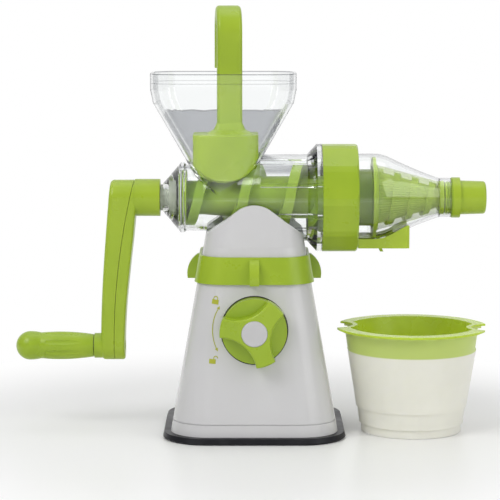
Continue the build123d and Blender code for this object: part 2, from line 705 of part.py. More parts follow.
# ---- auger and its shaft --------------------------------------------------
def flights(core, reach, pitch, thickness, start, end):
    """Left-handed flights from start to end, in lengths of at most one turn."""
    half_angle = math.radians(180 * thickness / pitch)
    inner = core / 2

    def at(radius, angle):
        return radius * math.cos(angle), radius * math.sin(angle)

    outside = ThreePointArc(at(reach, -half_angle), at(reach, 0), at(reach, half_angle))
    inside = ThreePointArc(at(inner, -half_angle), at(inner, 0), at(inner, half_angle))
    sides = Line(outside @ 0, inside @ 0).edges() + Line(outside @ 1, inside @ 1).edges()
    profile = make_face(outside.edges() + inside.edges() + sides).faces()[0]
    count = math.ceil((end - start) / pitch)
    step = (end - start) / count
    turn = -360 * step / pitch
    lobe = Solid.extrude_linear_with_rotation(profile, (0, 0, 0), (0, 0, step), turn)
    lobe = Rot(0, 90, 0) * lobe
    return [Pos(start + index * step, 0, AXIS_Z) * Rot(index * turn, 0, 0) * lobe
            for index in range(count)]


def tip_radius(x):
    """Radius of the auger tip's flights, a play inside the strainer."""
    share = (x - STRAINER_X) / (STRAINER_END_X - STRAINER_X)
    wall = STRAINER_WALL + STRAINER_PLAY
    return STRAINER_RADIUS + (STRAINER_END_RADIUS - STRAINER_RADIUS) * share - wall


def auger():
    start = BEARING_X + BEARING_LENGTH + SEAL_THICK + FACE_GAP
    disc_end = start + DISC_THICK
    flight_play = CHAMBER_BORE - FLIGHT_START_RADIUS
    main = flights(CORE_START_RADIUS, FLIGHT_RADIUS + FLIGHT_TRIM, FLIGHT_PITCH, FLIGHT_THICK,
                   disc_end, FLIGHT_END_X)
    room = turned_x([(disc_end - CUT, 0), (disc_end - CUT, FLIGHT_START_RADIUS),
                     (CONE_START_X, FLIGHT_START_RADIUS),
                     (CONE_END_X, min(FLIGHT_RADIUS, BARREL_BORE - flight_play)),
                     (COLLAR_END_X, FLIGHT_RADIUS), (COLLAR_END_X, 0)])
    tip = flights(COLLAR_RADIUS / 4, STRAINER_RADIUS, TIP_PITCH, TIP_FLIGHT_THICK,
                  COLLAR_END_X, TIP_END_X)
    tip_room = turned_x([(COLLAR_END_X - CUT, 0), (COLLAR_END_X - CUT, COLLAR_RADIUS),
                         (STRAINER_X, tip_radius(STRAINER_X)),
                         (TIP_END_X, tip_radius(TIP_END_X)), (TIP_END_X, 0)])
    core = turned_x([(start, 0), (start, DISC_RADIUS), (disc_end, DISC_RADIUS),
                     (disc_end, CORE_START_RADIUS), (CONE_START_X, CORE_START_RADIUS),
                     (CONE_END_X, CORE_RADIUS), (FLIGHT_END_X, CORE_RADIUS),
                     (FLIGHT_END_X, COLLAR_RADIUS), (COLLAR_END_X, COLLAR_RADIUS),
                     (STRAINER_X, tip_radius(STRAINER_X) - TIP_CORE_DEPTH),
                     (TIP_END_X, tip_radius(TIP_END_X) - TIP_CORE_DEPTH), (TIP_END_X, 0)])
    socket = block(start - CUT, FLIGHT_END_X - FLIGHT_PITCH, -STUB_SQUARE / 2, STUB_SQUARE / 2,
                   AXIS_Z - STUB_SQUARE / 2, AXIS_Z + STUB_SQUARE / 2)
    screw = core
    for length in main:
        screw = screw + (length & room)
    for length in tip:
        screw = screw + (length & tip_room)
    return screw - socket


def hub_face_x():
    """Right face of the crank's hub, beside the bush's flange."""
    return NOSE_X - BUSH_FLANGE - FACE_GAP


def drive_shaft():
    """Steel shaft: square in the auger and the crank, round in the bearings."""
    start = BEARING_X + BEARING_LENGTH + SEAL_THICK + FACE_GAP
    hub_x = hub_face_x()
    half = STUB_SQUARE / 2 - SEAT_GAP
    square = block(hub_x - HUB_LENGTH, FLIGHT_END_X - FLIGHT_PITCH - CUT, -half, half,
                   AXIS_Z - half, AXIS_Z + half)
    square = square & bar_x(SHAFT_RADIUS - SEAT_GAP, hub_x - HUB_LENGTH - CUT, FLIGHT_END_X)
    shaft = square + bar_x(SHAFT_RADIUS, hub_x, start)
    return shaft - bar_x(SCREW_RADIUS, hub_x - HUB_LENGTH - CUT, hub_x - SCREW_LENGTH / 2)


# ---- nozzle end -----------------------------------------------------------
def nozzle_solid(offset, start, end):
    """The nozzle's taper and neck, moved in by offset, as a solid turned piece."""
    shoulder = (HOUSING_SHOULDER_X, HOUSING_RADIUS - offset)
    middle = (HOUSING_MID_X, HOUSING_MID_RADIUS - offset)
    neck = (NECK_X, NECK_RADIUS - offset)
    round_top = TangentArc(shoulder, middle, tangent=(1, 0))
    hollow_side = TangentArc(middle, neck, tangent=round_top % 1)
    run_out = [neck] if end == NECK_X else [neck, (end, neck[1])]
    rest = Polyline(*run_out, (end, 0), (start, 0), (start, shoulder[1]), shoulder)
    outline = make_face(round_top.edges() + hollow_side.edges() + rest.edges())
    return Pos(0, 0, AXIS_Z) * revolve(outline, Axis.X)


def flange_gasket():
    return turned_x([(SPIGOT_END_X, GASKET_BORE), (SPIGOT_END_X, SPIGOT_RADIUS),
                     (HOUSING_FLANGE_X, SPIGOT_RADIUS), (HOUSING_FLANGE_X, GASKET_BORE)])


def nozzle_neck():
    """Threaded sleeve on the end of the taper, for the cap."""
    return turned_x([(NECK_X + SEAT_GAP, NECK_BORE), (NECK_X + SEAT_GAP, NECK_RADIUS),
                     (NECK_END_X, NECK_RADIUS), (NECK_END_X, NECK_BORE)])


def nozzle_housing():
    outer = nozzle_solid(0, HOUSING_FLANGE_X, NECK_X)
    flange = bar_x(HOUSING_FLANGE_RADIUS, HOUSING_FLANGE_X, HOUSING_FLANGE_X + HOUSING_FLANGE)
    inner = nozzle_solid(HOUSING_WALL, HOUSING_FLANGE_X - CUT, NECK_END_X)
    outlet = block(STRAINER_X, STRAINER_X + OUTLET_LENGTH, -OUTLET_WIDTH / 2, OUTLET_WIDTH / 2,
                   AXIS_Z - HOUSING_RADIUS - CUT, AXIS_Z - STRAINER_RADIUS)
    return outer + flange - inner - outlet


def strainer_outline(offset):
    return [(STRAINER_X, STRAINER_RADIUS - offset), (STRAINER_END_X, STRAINER_END_RADIUS - offset)]


def strainer_collar():
    """Flat ring that seats the strainer's wide end in the housing."""
    bore = STRAINER_RADIUS - STRAINER_WALL
    flange_radius = HOUSING_BORE - STRAINER_SEAT
    start = STRAINER_X - STRAINER_FLANGE
    end = STRAINER_X - SEAT_GAP
    return turned_x([(start, bore), (start, flange_radius), (end, flange_radius), (end, bore)])


def strainer():
    """Conical strainer with rows of slots, and a ring at its narrow end."""
    end = STRAINER_END_X + STRAINER_FLANGE
    end_ring = NECK_BORE - SEAT_GAP
    outer = turned_x([(STRAINER_X, 0)] + strainer_outline(0)
                     + [(STRAINER_END_X, end_ring), (end, end_ring), (end, 0)])
    start = STRAINER_X - CUT
    inner = turned_x([(start, 0), (start, STRAINER_RADIUS - STRAINER_WALL)]
                     + strainer_outline(STRAINER_WALL)
                     + [(end + CUT, STRAINER_END_RADIUS - STRAINER_WALL), (end + CUT, 0)])
    slots = []
    row_step = (STRAINER_END_X - STRAINER_X - 2 * SLOT_MARGIN) / SLOT_ROWS
    for row in range(SLOT_ROWS):
        x = STRAINER_X + SLOT_MARGIN + row_step * (row + 0.5)
        for index in range(SLOT_COUNT):
            slot = block(x - SLOT_LENGTH / 2, x + SLOT_LENGTH / 2, -SLOT_WIDTH / 2, SLOT_WIDTH / 2,
                         0, STRAINER_RADIUS + CUT)
            turn = 360 * (index + 0.5 * (row % 2)) / SLOT_COUNT
            slots.append(Pos(0, 0, AXIS_Z) * Rot(turn, 0, 0) * slot)
    return outer - inner - slots


def screw_ring():
    lip_x = HOUSING_FLANGE_X + HOUSING_FLANGE + SLIDE_GAP
    lip_bore = HOUSING_RADIUS + SLIDE_GAP
    inner_x = RING_X + SLIDE_GAP
    band = turned_x([(inner_x, RING_BORE), (inner_x, RING_RADIUS),
                     (RING_END_X - RING_BEVEL, RING_RADIUS),
                     (RING_END_X, RING_RADIUS - RING_BEVEL), (RING_END_X, lip_bore),
                     (lip_x, lip_bore), (lip_x, RING_BORE)])
    facets = Plane.YZ.offset(RING_X) * RegularPolygon(RING_FACET_RADIUS, RING_FACETS)
    facets = Pos(0, 0, AXIS_Z) * extrude(facets, amount=RING_END_X - RING_X)
    return band & facets


def juice_tray():
    """Trough under the outlet, with a raised end block and a drip tongue."""
    half = TRAY_HALF_WIDTH
    low = block(TRAY_X, TRAY_END_X, -half, half, TRAY_BOTTOM_Z, TRAY_RIM_Z)
    high = block(TRAY_BLOCK_X, TRAY_END_X, -half, half, TRAY_BOTTOM_Z, TRAY_BLOCK_Z)
    tray = low + high
    upright = tray.edges().filter_by(Axis.Z).sort_by(Axis.X)
    tray = fillet(upright[-2:], TRAY_CORNER)
    hollow = block(TRAY_X + TRAY_WALL, TRAY_BLOCK_X, -half + TRAY_WALL, half - TRAY_WALL,
                   TRAY_BOTTOM_Z + TRAY_WALL, TRAY_BLOCK_Z)
    drain = block(SPOUT_X + SPOUT_THICK, SPOUT_TIP_X + 2 * SPOUT_THICK,
                  -SPOUT_WIDTH / 2, SPOUT_WIDTH / 2, TRAY_BOTTOM_Z - CUT, TRAY_RIM_Z)
    tongue = plate_xz([(SPOUT_X, SPOUT_TOP_Z), (SPOUT_X + SPOUT_THICK, SPOUT_TOP_Z),
                       (SPOUT_TIP_X + SPOUT_THICK / 2, SPOUT_TIP_Z),
                       (SPOUT_TIP_X - SPOUT_THICK / 2, SPOUT_TIP_Z)],
                      -SPOUT_WIDTH / 2, SPOUT_WIDTH / 2)
    tray = tray - hollow - drain + tongue
    return tray - nozzle_solid(-SEAT_GAP, HOUSING_FLANGE_X, NECK_END_X)


def cap_start_x():
    return NECK_END_X + CAP_SEAL


def cap_seal():
    return turned_x([(NECK_END_X, NECK_BORE - SLIDE_GAP), (NECK_END_X, NECK_RADIUS),
                     (NECK_END_X + CAP_SEAL, NECK_RADIUS),
                     (NECK_END_X + CAP_SEAL, NECK_BORE - SLIDE_GAP)])


def cap_plug():
    """The cap's threaded sleeve, seated in its flange."""
    plug = NECK_BORE - THREAD_DEPTH
    start = cap_start_x() - CAP_PLUG_LENGTH
    end = cap_start_x() + CAP_FLANGE
    return turned_x([(start, CAP_BORE), (start, plug), (end, plug), (end, CAP_BORE)])


def pulp_cap():
    """Screw-in cap at the end of the nozzle, bored for the pulp."""
    start = cap_start_x()
    flange_end = start + CAP_FLANGE
    seat = NECK_BORE - THREAD_DEPTH + SEAT_GAP
    cap = turned_x([(start, seat), (start, CAP_FLANGE_RADIUS), (flange_end, CAP_FLANGE_RADIUS),
                    (flange_end, CAP_RADIUS), (CAP_END_X, CAP_END_RADIUS),
                    (CAP_END_X, CAP_BORE), (flange_end + SEAT_GAP, CAP_BORE),
                    (flange_end + SEAT_GAP, seat)])
    rim = cap.edges().filter_by(GeomType.CIRCLE).group_by(Axis.X)[-1].sort_by(SortBy.RADIUS)[-1]
    return fillet(rim, CAP_ROUND)


# ---- crank ----------------------------------------------------------------
def grip_z():
    return AXIS_Z - ARM_THROW


def arm_side_room():
    """The arm seen along X: a tapering bar with round ends."""
    low = bar_x(ARM_LOW_RADIUS, BOSS_X, hub_face_x(), 0, grip_z())
    high = bar_x(ARM_TOP_RADIUS, BOSS_X, hub_face_x(), 0, AXIS_Z)
    tilt = math.asin((ARM_TOP_RADIUS - ARM_LOW_RADIUS) / ARM_THROW)
    high_y = ARM_TOP_RADIUS * math.cos(tilt)
    high_z = AXIS_Z - ARM_TOP_RADIUS * math.sin(tilt)
    low_y = ARM_LOW_RADIUS * math.cos(tilt)
    low_z = grip_z() - ARM_LOW_RADIUS * math.sin(tilt)
    outline = make_face(Polyline((BOSS_X, high_y, high_z), (BOSS_X, -high_y, high_z),
                                 (BOSS_X, -low_y, low_z), (BOSS_X, low_y, low_z),
                                 close=True).edges())
    middle = extrude(outline, amount=hub_face_x() - BOSS_X, dir=(1, 0, 0))
    return low + high + middle


def arm_shell(left, right):
    """The arm between two sides, each given as three x places from low to high."""
    low = grip_z() - ARM_LOW_RADIUS
    high = AXIS_Z + ARM_TOP_RADIUS
    heights = (low, ARM_LOW_Z, ARM_MID_Z, high)

    def side(xs):
        points = [(x, 0, z) for x, z in zip(xs, heights)]
        return Spline(*points)

    first = side(left)
    second = side(right)
    ends = Line(first @ 0, second @ 0).edges() + Line(first @ 1, second @ 1).edges()
    outline = make_face(first.edges() + second.edges() + ends)
    depth = ARM_TOP_RADIUS + CUT
    return Pos(0, -depth, 0) * extrude(outline, amount=2 * depth, dir=(0, 1, 0))


def seam_line(shift):
    return (ARM_SEAM_LOW_X + shift, ARM_SEAM_LOW_X + shift, ARM_SEAM_MID_X + shift,
            ARM_SEAM_HIGH_X + shift)


def screw_head_room():
    screw_x = hub_face_x() - HUB_LENGTH
    return bar_x(SCREW_HEAD_RADIUS + SLIDE_GAP, screw_x - 2 * SCREW_HEAD_HEIGHT, screw_x)


def crank_inner_shell():
    hub_x = hub_face_x()
    inner = (ARM_INNER_LOW_X, ARM_INNER_LOW_X, ARM_INNER_MID_X, ARM_INNER_HIGH_X)
    arm = arm_shell(seam_line(SEAM_GAP / 2), inner) & arm_side_room()
    inner_face = arm.faces().filter_by(GeomType.EXTRUSION).sort_by(Axis.X)[-1]
    arm = fillet(inner_face.edges(), ARM_INNER_ROUND)
    hub = bar_x(HUB_RADIUS, hub_x - HUB_LENGTH, hub_x)
    shell = arm + hub
    half = STUB_SQUARE / 2
    shell = shell - block(hub_x - HUB_LENGTH, hub_x + CUT, -half, half,
                          AXIS_Z - half, AXIS_Z + half) - screw_head_room()
    return shell - bar_x(PIN_RADIUS, BOSS_X, hub_x, 0, grip_z())


def crank_outer_shell():
    outer = (ARM_OUTER_LOW_X, ARM_OUTER_LOW_X, ARM_OUTER_MID_X, ARM_OUTER_TOP_X)
    arm = arm_shell(outer, seam_line(-SEAM_GAP / 2)) & arm_side_room()
    arm = fillet(arm.faces().sort_by(Axis.X)[0].edges(), ARM_ROUND)
    boss = bar_x(GRIP_BOSS_RADIUS, BOSS_X, ARM_SEAM_LOW_X - SEAM_GAP, 0, grip_z())
    shell = arm + boss - bar_x(PIN_RADIUS, BOSS_X - CUT, hub_face_x(), 0, grip_z())
    hub_room = bar_x(HUB_RADIUS + SEAT_GAP, hub_face_x() - HUB_LENGTH, hub_face_x())
    return shell - screw_head_room() - hub_room


def crank_screw():
    screw_x = hub_face_x() - HUB_LENGTH
    head = bar_x(SCREW_HEAD_RADIUS, screw_x - SCREW_HEAD_HEIGHT, screw_x)
    return head + bar_x(SCREW_RADIUS, screw_x, hub_face_x() - SCREW_LENGTH / 2)


def grip_pin():
    head_x = PIN_END_X + PIN_HEAD_LENGTH
    pin = bar_x(PIN_RADIUS, head_x, ARM_INNER_LOW_X - CUT, 0, grip_z())
    return pin + bar_x(PIN_HEAD_RADIUS, PIN_END_X, head_x, 0, grip_z())


def crank_grip():
    """Fluted handle with a round end, bored for the headed pin."""
    middle_x = (GRIP_X + GRIP_WAIST_X) / 2
    bulb_x = GRIP_END_X + GRIP_RADIUS
    start = (GRIP_X, GRIP_START_RADIUS)
    waist = (GRIP_WAIST_X, GRIP_WAIST_RADIUS)
    side = ThreePointArc(start, (middle_x, GRIP_SIDE_RADIUS), waist)
    swell = TangentArc((bulb_x, GRIP_RADIUS), waist, tangent=(1, 0))
    bulb = CenterArc((bulb_x, 0), GRIP_RADIUS, 90, 90)
    ends = Polyline((GRIP_END_X, 0), (GRIP_X, 0), start)
    outline = make_face(side.edges() + swell.edges() + bulb.edges() + ends.edges())
    body = Pos(0, 0, grip_z()) * revolve(outline, Axis.X)
    head_x = PIN_END_X + PIN_HEAD_LENGTH + FACE_GAP
    bore = turned_x([(GRIP_X + CUT, 0), (GRIP_X + CUT, PIN_RADIUS + RUN_GAP),
                     (head_x, PIN_RADIUS + RUN_GAP), (head_x, PIN_HEAD_RADIUS + SLIDE_GAP),
                     (PIN_END_X - FACE_GAP, PIN_HEAD_RADIUS + SLIDE_GAP),
                     (PIN_END_X - FACE_GAP, 0)], grip_z())
    body = body - bore
    place = GRIP_RADIUS + FLUTE_RADIUS - FLUTE_DEPTH
    for index in range(FLUTE_COUNT):
        angle = 2 * math.pi * (index + 0.5) / FLUTE_COUNT
        y = place * math.sin(angle)
        z = grip_z() + place * math.cos(angle)
        body = body - bar_x(FLUTE_RADIUS, GRIP_FLUTE_END_X, GRIP_X - FLUTE_SETBACK, y, z)
    return body


# ---- pusher ---------------------------------------------------------------
def hook():
    """Stem and back leg of the pusher, one bar bent over a finger gap."""
    radius = HOOK_GAP / 2 + STEM_THICK / 2
    crown_z = HOOK_TOP_Z - STEM_THICK / 2 - radius
    stem = Line((0, 0, PUSHER_HEAD_TOP_Z - CUT), (0, 0, crown_z))
    bend = ThreePointArc((0, 0, crown_z), (0, radius, crown_z + radius), (0, 2 * radius, crown_z))
    leg = Line((0, 2 * radius, crown_z), (0, 2 * radius, HOOK_END_Z))
    path = Wire(stem.edges() + bend.edges() + leg.edges())
    profile = Pos(0, 0, PUSHER_HEAD_TOP_Z - CUT) * RectangleRounded(STEM_WIDTH, STEM_THICK, STEM_CORNER)
    return Pos(STEM_X, 0, 0) * Rot(0, 0, HOOK_YAW) * sweep(profile, path=path)


def pusher():
    half = PUSHER_HEAD_WIDTH / 2
    left = PUSHER_X - half
    right = PUSHER_X + half
    low = PUSHER_BELLY_Z - PUSHER_BELLY_DROP
    belly = Spline((left, 0, PUSHER_BELLY_Z), (PUSHER_X, 0, low), (right, 0, PUSHER_BELLY_Z),
                   tangents=[(0, 0, -1), (0, 0, 1)])
    rest = Polyline((right, 0, PUSHER_BELLY_Z), (right, 0, PUSHER_HEAD_TOP_Z),
                    (left, 0, PUSHER_HEAD_TOP_Z), (left, 0, PUSHER_BELLY_Z))
    outline = make_face(belly.edges() + rest.edges())
    head = extrude(outline, amount=PUSHER_HEAD_DEPTH / 2, dir=(0, 1, 0), both=True)
    head = fillet(head.edges().filter_by(Axis.Z), PUSHER_HEAD_CORNER)
    head = head & hopper_block(HOPPER_WALL + PUSHER_WALL_PLAY)
    head = head - bar_x(FLIGHT_RADIUS + PUSHER_AUGER_PLAY, left - CUT, right + CUT)
    flare = loft([
        rounded(STEM_WIDTH + 2 * STEM_FLARE, STEM_THICK + 2 * STEM_FLARE, FLARE_CORNER,
                PUSHER_HEAD_TOP_Z, STEM_X),
        rounded(STEM_WIDTH + FLARE_MID_REACH, STEM_THICK + FLARE_MID_REACH, FLARE_MID_CORNER,
                PUSHER_HEAD_TOP_Z + FLARE_MID_HEIGHT, STEM_X),
        rounded(STEM_WIDTH, STEM_THICK, STEM_CORNER, PUSHER_HEAD_TOP_Z + STEM_FLARE, STEM_X),
    ], ruled=True)
    return head + flare + hook()


# ---- juice cup ------------------------------------------------------------
def cup_radius(z):
    share = (z - CUP_FOOT_Z) / (CUP_HEIGHT - CUP_FOOT_Z)
    return CUP_FOOT_RADIUS + (CUP_TOP_RADIUS - CUP_FOOT_RADIUS) * share


def notches(radius, z0, z1):
    cuts = []
    for angle in (NOTCH_ANGLE, NOTCH_ANGLE + 180):
        x = CUP_X + NOTCH_CENTRE * math.cos(math.radians(angle))
        y = CUP_Y + NOTCH_CENTRE * math.sin(math.radians(angle))
        cuts.append(bar_z(radius, z0, z1, x, y))
    return cuts


def cup_body():
    top = CUP_HEIGHT - CUP_FLANGE
    step = CUP_STEP_Z
    outer = turned_z([(0, 0), (CUP_FOOT_RADIUS - CUP_FOOT_STEP, 0),
                      (CUP_FOOT_RADIUS - CUP_FOOT_STEP, CUP_FOOT_Z),
                      (CUP_FOOT_RADIUS, CUP_FOOT_Z), (cup_radius(step) - CUP_STEP / 2, step),
                      (cup_radius(step) + CUP_STEP / 2, step),
                      (cup_radius(top), top - CUP_FLANGE), (CUP_BODY_FLANGE_RADIUS, top - CUP_FLANGE),
                      (CUP_BODY_FLANGE_RADIUS, top), (0, top)], CUP_X, CUP_Y)
    inner = turned_z([(0, CUP_FLOOR), (CUP_FOOT_RADIUS - CUP_FOOT_STEP - CUP_WALL, CUP_FLOOR),
                      (CUP_FOOT_RADIUS - CUP_WALL, CUP_FOOT_Z + CUP_WALL),
                      (cup_radius(top) - CUP_WALL, top), (cup_radius(top) - CUP_WALL, top + CUT),
                      (0, top + CUT)], CUP_X, CUP_Y)
    floor_z = NOTCH_FLOOR_Z
    outer = outer - notches(NOTCH_RADIUS, floor_z, top + CUT)
    inner = inner - notches(NOTCH_RADIUS + CUP_WALL, floor_z - CUP_WALL, top + 2 * CUT)
    return outer - inner


def cup_rim():
    top = CUP_HEIGHT - CUP_FLANGE
    low = CUP_HEIGHT - CUP_RIM_HEIGHT
    gap = CUP_WALL + SEAT_GAP
    outer = turned_z([(0, low), (cup_radius(low) - gap, low), (cup_radius(top) - gap, top),
                      (CUP_FLANGE_RADIUS, top), (CUP_FLANGE_RADIUS, CUP_HEIGHT),
                      (0, CUP_HEIGHT)], CUP_X, CUP_Y)
    inner = turned_z([(0, low - CUT), (cup_radius(low) - gap - CUP_WALL, low - CUT),
                      (cup_radius(low) - gap - CUP_WALL, low),
                      (cup_radius(CUP_HEIGHT) - gap - CUP_WALL, CUP_HEIGHT + CUT),
                      (0, CUP_HEIGHT + CUT)], CUP_X, CUP_Y)
    dent = NOTCH_RADIUS + gap
    outer = outer - notches(dent, low - CUT, top)
    outer = outer - notches(NOTCH_RADIUS, top, CUP_HEIGHT + CUT)
    inner = inner - notches(dent + CUP_WALL, low - 2 * CUT, CUP_HEIGHT + 2 * CUT)
    return outer - inner


PIECES = [
    suction_pad, base_plate, base_screws, tower_shell, knob_seal, knob_bush,
    juicer_body, shaft_bush, rear_bearing, shaft_seal, flange_gasket, nozzle_housing, nozzle_neck,
    strainer_collar, strainer, juice_tray, screw_ring, cap_seal, cap_plug, pulp_cap,
    auger, drive_shaft, crank_inner_shell, crank_outer_shell, crank_screw, grip_pin, crank_grip,
    knob, knob_cap, knob_shaft, cam_disc, cam_pin, pull_rod, rod_foot,
    lock_collar, pusher, cup_body, cup_rim,
]

os.makedirs("parts", exist_ok=True)
for piece in PIECES:
    export_step(piece(), "parts/" + piece.__name__ + ".step")
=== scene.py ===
import math

import bmesh
import bpy
from bpy.props import FloatProperty, FloatVectorProperty, IntProperty, PointerProperty
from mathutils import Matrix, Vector


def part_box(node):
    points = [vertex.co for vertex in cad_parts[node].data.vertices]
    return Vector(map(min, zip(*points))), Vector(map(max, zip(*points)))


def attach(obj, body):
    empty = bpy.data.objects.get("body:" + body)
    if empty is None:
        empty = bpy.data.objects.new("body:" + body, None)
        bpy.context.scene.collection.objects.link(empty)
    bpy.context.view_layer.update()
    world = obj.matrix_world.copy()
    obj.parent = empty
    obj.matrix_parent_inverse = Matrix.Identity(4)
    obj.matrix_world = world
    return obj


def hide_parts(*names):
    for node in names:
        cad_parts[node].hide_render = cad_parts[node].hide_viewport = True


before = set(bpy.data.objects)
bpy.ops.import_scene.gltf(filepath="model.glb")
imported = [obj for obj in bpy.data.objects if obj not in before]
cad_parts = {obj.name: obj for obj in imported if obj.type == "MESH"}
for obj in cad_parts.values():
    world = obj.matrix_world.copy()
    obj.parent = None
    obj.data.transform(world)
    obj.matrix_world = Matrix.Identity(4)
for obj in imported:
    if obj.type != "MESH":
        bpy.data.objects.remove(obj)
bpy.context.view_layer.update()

bl_info = {
    "name": "Manual juicer finishes",
    "version": (1, 0, 0),
    "blender": (4, 5, 0),
    "location": "View3D > Sidebar > Juicer",
    "description": "Finishes, fine pieces and studio for a hand-cranked juicer",
    "category": "Object",
}

# ---- places that follow from the model --------------------------------------
AXIS_Z = 0.186                      # height of the auger axis
FOOT_Z = 0.005                      # where the tower meets the rubber foot
TOWER_FOOT_HALF = 0.0658
TOWER_LEAN = math.tan(math.radians(10.1))
TOWER_FOOT_CORNER = 0.030
TOWER_CORNER_DRAW = 0.012 / 0.185   # how fast the corners tighten with height
KNOB_CENTRE = (0.0, 0.087)
HOPPER_FOOT_Z = 0.2120              # above this the walls belong to the hopper
HOPPER_RIM_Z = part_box("juicer_body")[1].z
HOPPER_LEDGE_Z = HOPPER_RIM_Z - 0.0078
FROST_TOP_Z = 0.2535                # the hopper's back wall is frosted up to here
RIM_SKIRT_Z = 0.0655                # the cup's green insert reaches down to here
FROST_LOW_Z, FROST_LOW_END_Z = 0.2020, 0.2060
FROST_BACK_Y, FROST_BACK_END_Y = 0.018, 0.024
CONE_START_X, CONE_START_RADIUS = 0.0960, 0.0265    # the strainer's cone
CONE_END_X, CONE_END_RADIUS = 0.1480, 0.0123
CLOTH_START_X = 0.0962
CLOTH_LENGTHS = 24
CONE_WALL = 0.0012
COLLAR_THICK = 0.0024
COLLAR_SLEEVE_X = 0.0976            # the collar's sleeve lies on the cone up to here
STRAINER_END_RING = 0.0133
TURNED_STEPS = 96
HEAD_X = -0.02285                   # the pusher's head
HEAD_HALF_WIDTH = 0.02560
HEAD_HALF_DEPTH = 0.02500
HEAD_TOP_Z = 0.2371
HEAD_BELLY_Z = 0.2170
HEAD_DROP = 0.0200
HEAD_ROUND = 0.0016
HEAD_FULLNESS = 0.42                # below 1 fills the corners of the head's outline
HEAD_END_RISE = 0.35                # how much the belly rises to the front and back
HEAD_AROUND, HEAD_INWARD, HEAD_BEND = 128, 14, 5
SADDLE_START_X, SADDLE_LENGTH = -0.040, 0.045       # the auger grows along the head
SADDLE_RADIUS, SADDLE_GROWTH = 0.0230, 0.0056
THROAT_Z = 0.2030                   # the hopper's inner walls above its throat
THROAT_LEFT_X, THROAT_RIGHT_X = -0.0429, -0.0057
THROAT_STEEP = 1.725
PLUG_START_X, PLUG_END_X = 0.1512, 0.1566
PLUG_RADIUS = 0.01240


def colour(name, text, default):
    return FloatVectorProperty(name=name, description=text, default=default,
                               subtype="COLOR", size=3, min=0.0, max=1.0)


def length(name, text, default):
    return FloatProperty(name=name, description=text, default=default,
                         unit="LENGTH", min=0.0, precision=5)


class JuicerColours(bpy.types.PropertyGroup):
    """Colours of the plastics, rubbers and prints."""
    lime: colour("Lime", "Moulded lime plastic", (0.300, 0.440, 0.014))
    # Painted shade: a darker copy of the lime for parts inside the clear walls.
    lime_pale: colour("Pale lime", "Where the lime plastic is lighter", (0.372, 0.510, 0.024))
    lime_painted_shade: colour("Deep lime", "Lime plastic deep inside clear walls", (0.220, 0.370, 0.020))
    white: colour("White", "Tower plastic", (0.645, 0.640, 0.648))
    clear: colour("Clear", "Tint of the clear walls", (0.975, 0.985, 0.985))
    # Painted shade: the clear walls' tint where they turn sideways, drawn as dark outlines at their
    # edges.
    edge: colour("Edge", "Tint of the clear walls seen through their thickness",
                 (0.480, 0.490, 0.500))
    frost: colour("Frost", "Frosted back wall of the hopper", (0.430, 0.440, 0.465))
    milky: colour("Milky", "Cup plastic", (0.850, 0.840, 0.750))
    rubber: colour("Rubber", "Suction foot and seals", (0.010, 0.010, 0.013))
    grey: colour("Bearing grey", "Bush and bearing rings", (0.500, 0.530, 0.440))
    steel: colour("Steel", "Shaft, pins and screws", (0.560, 0.560, 0.570))
    olive: colour("Mark", "Printed signs on the tower", (0.400, 0.420, 0.030))
    seal: colour("Seal", "Clouded seals behind clear walls", (0.560, 0.580, 0.560))
    # Painted light: a lighter copy of the lime, drawn where light comes through the lime or falls
    # on it.
    lime_painted_light: colour("Lit lime", "Lime plastic that light comes through", (0.480, 0.640, 0.030))
    mesh: colour("Mesh", "Fine strainer mesh", (0.560, 0.680, 0.060))


class JuicerSizes(bpy.types.PropertyGroup):
    """Sizes of the fine pieces that are added to the model."""
    print_height: length("Print height", "How far the printed signs stand out", 0.00012)
    sign_radius: length("Sign radius", "Radius of the turning arrow about the knob", 0.0326)
    sign_stroke: length("Sign stroke", "Line width of the turning arrow", 0.0007)
    lock_width: length("Padlock width", "Width of each padlock's body", 0.0052)
    lock_height: length("Padlock height", "Height of each padlock's body", 0.0036)
    thread_pitch: length("Thread pitch", "Pitch of the cap's thread", 0.0018)
    thread_height: length("Thread height", "How far the cap's thread stands out", 0.00080)
    mesh_wire: length("Mesh wire", "Thickness of the strainer's mesh", 0.0004)
    mesh_rows: IntProperty(name="Mesh rows", description="Rows of holes round the strainer",
                           default=150, min=10, max=400)


class JuicerStage(bpy.types.PropertyGroup):
    """Camera, lamps and floor."""
    camera_place: FloatVectorProperty(name="Camera", description="Place of the camera",
                                      default=(-0.0034, -1.610, 0.3386), subtype="TRANSLATION",
                                      unit="LENGTH")
    camera_dip: FloatProperty(name="Dip", description="How far the camera looks down",
                              default=math.radians(6.9), subtype="ANGLE")
    focal: FloatProperty(name="Focal length", description="Lens, for a sensor 36 mm wide",
                         default=146.0, min=20.0)
    world_light: FloatProperty(name="World light", description="Strength of the room light",
                               default=0.50, min=0.0)
    lamp_light: FloatProperty(name="Lamp light", description="Scale of all the lamps",
                              default=0.78, min=0.0)
    floor_half: length("Floor half size", "Half the width of the floor", 3.0)


def colours():
    return bpy.context.scene.juicer_colours


def sizes():
    return bpy.context.scene.juicer_sizes


# ---- node trees -------------------------------------------------------------
def finish_tree(name):
    """A new material's tree, with its output node."""
    material = bpy.data.materials.new(name)
    material.use_nodes = True
    tree = material.node_tree
    tree.nodes.clear()
    return material, tree, tree.nodes.new("ShaderNodeOutputMaterial")


def feed(tree, value, socket):
    """Link a socket's value on, or set a plain one."""
    if isinstance(value, bpy.types.NodeSocket):
        tree.links.new(value, socket)
    elif hasattr(value, "__len__") and len(value) == 3 and socket.type == "RGBA":
        socket.default_value = (*value, 1.0)
    else:
        socket.default_value = value


def place(tree):
    return tree.nodes.new("ShaderNodeTexCoord").outputs["Object"]


def outward(tree):
    """The surface's direction in the model's own axes."""
    return tree.nodes.new("ShaderNodeTexCoord").outputs["Normal"]


def parts_of(tree, vector):
    split = tree.nodes.new("ShaderNodeSeparateXYZ")
    feed(tree, vector, split.inputs[0])
    return split.outputs["X"], split.outputs["Y"], split.outputs["Z"]


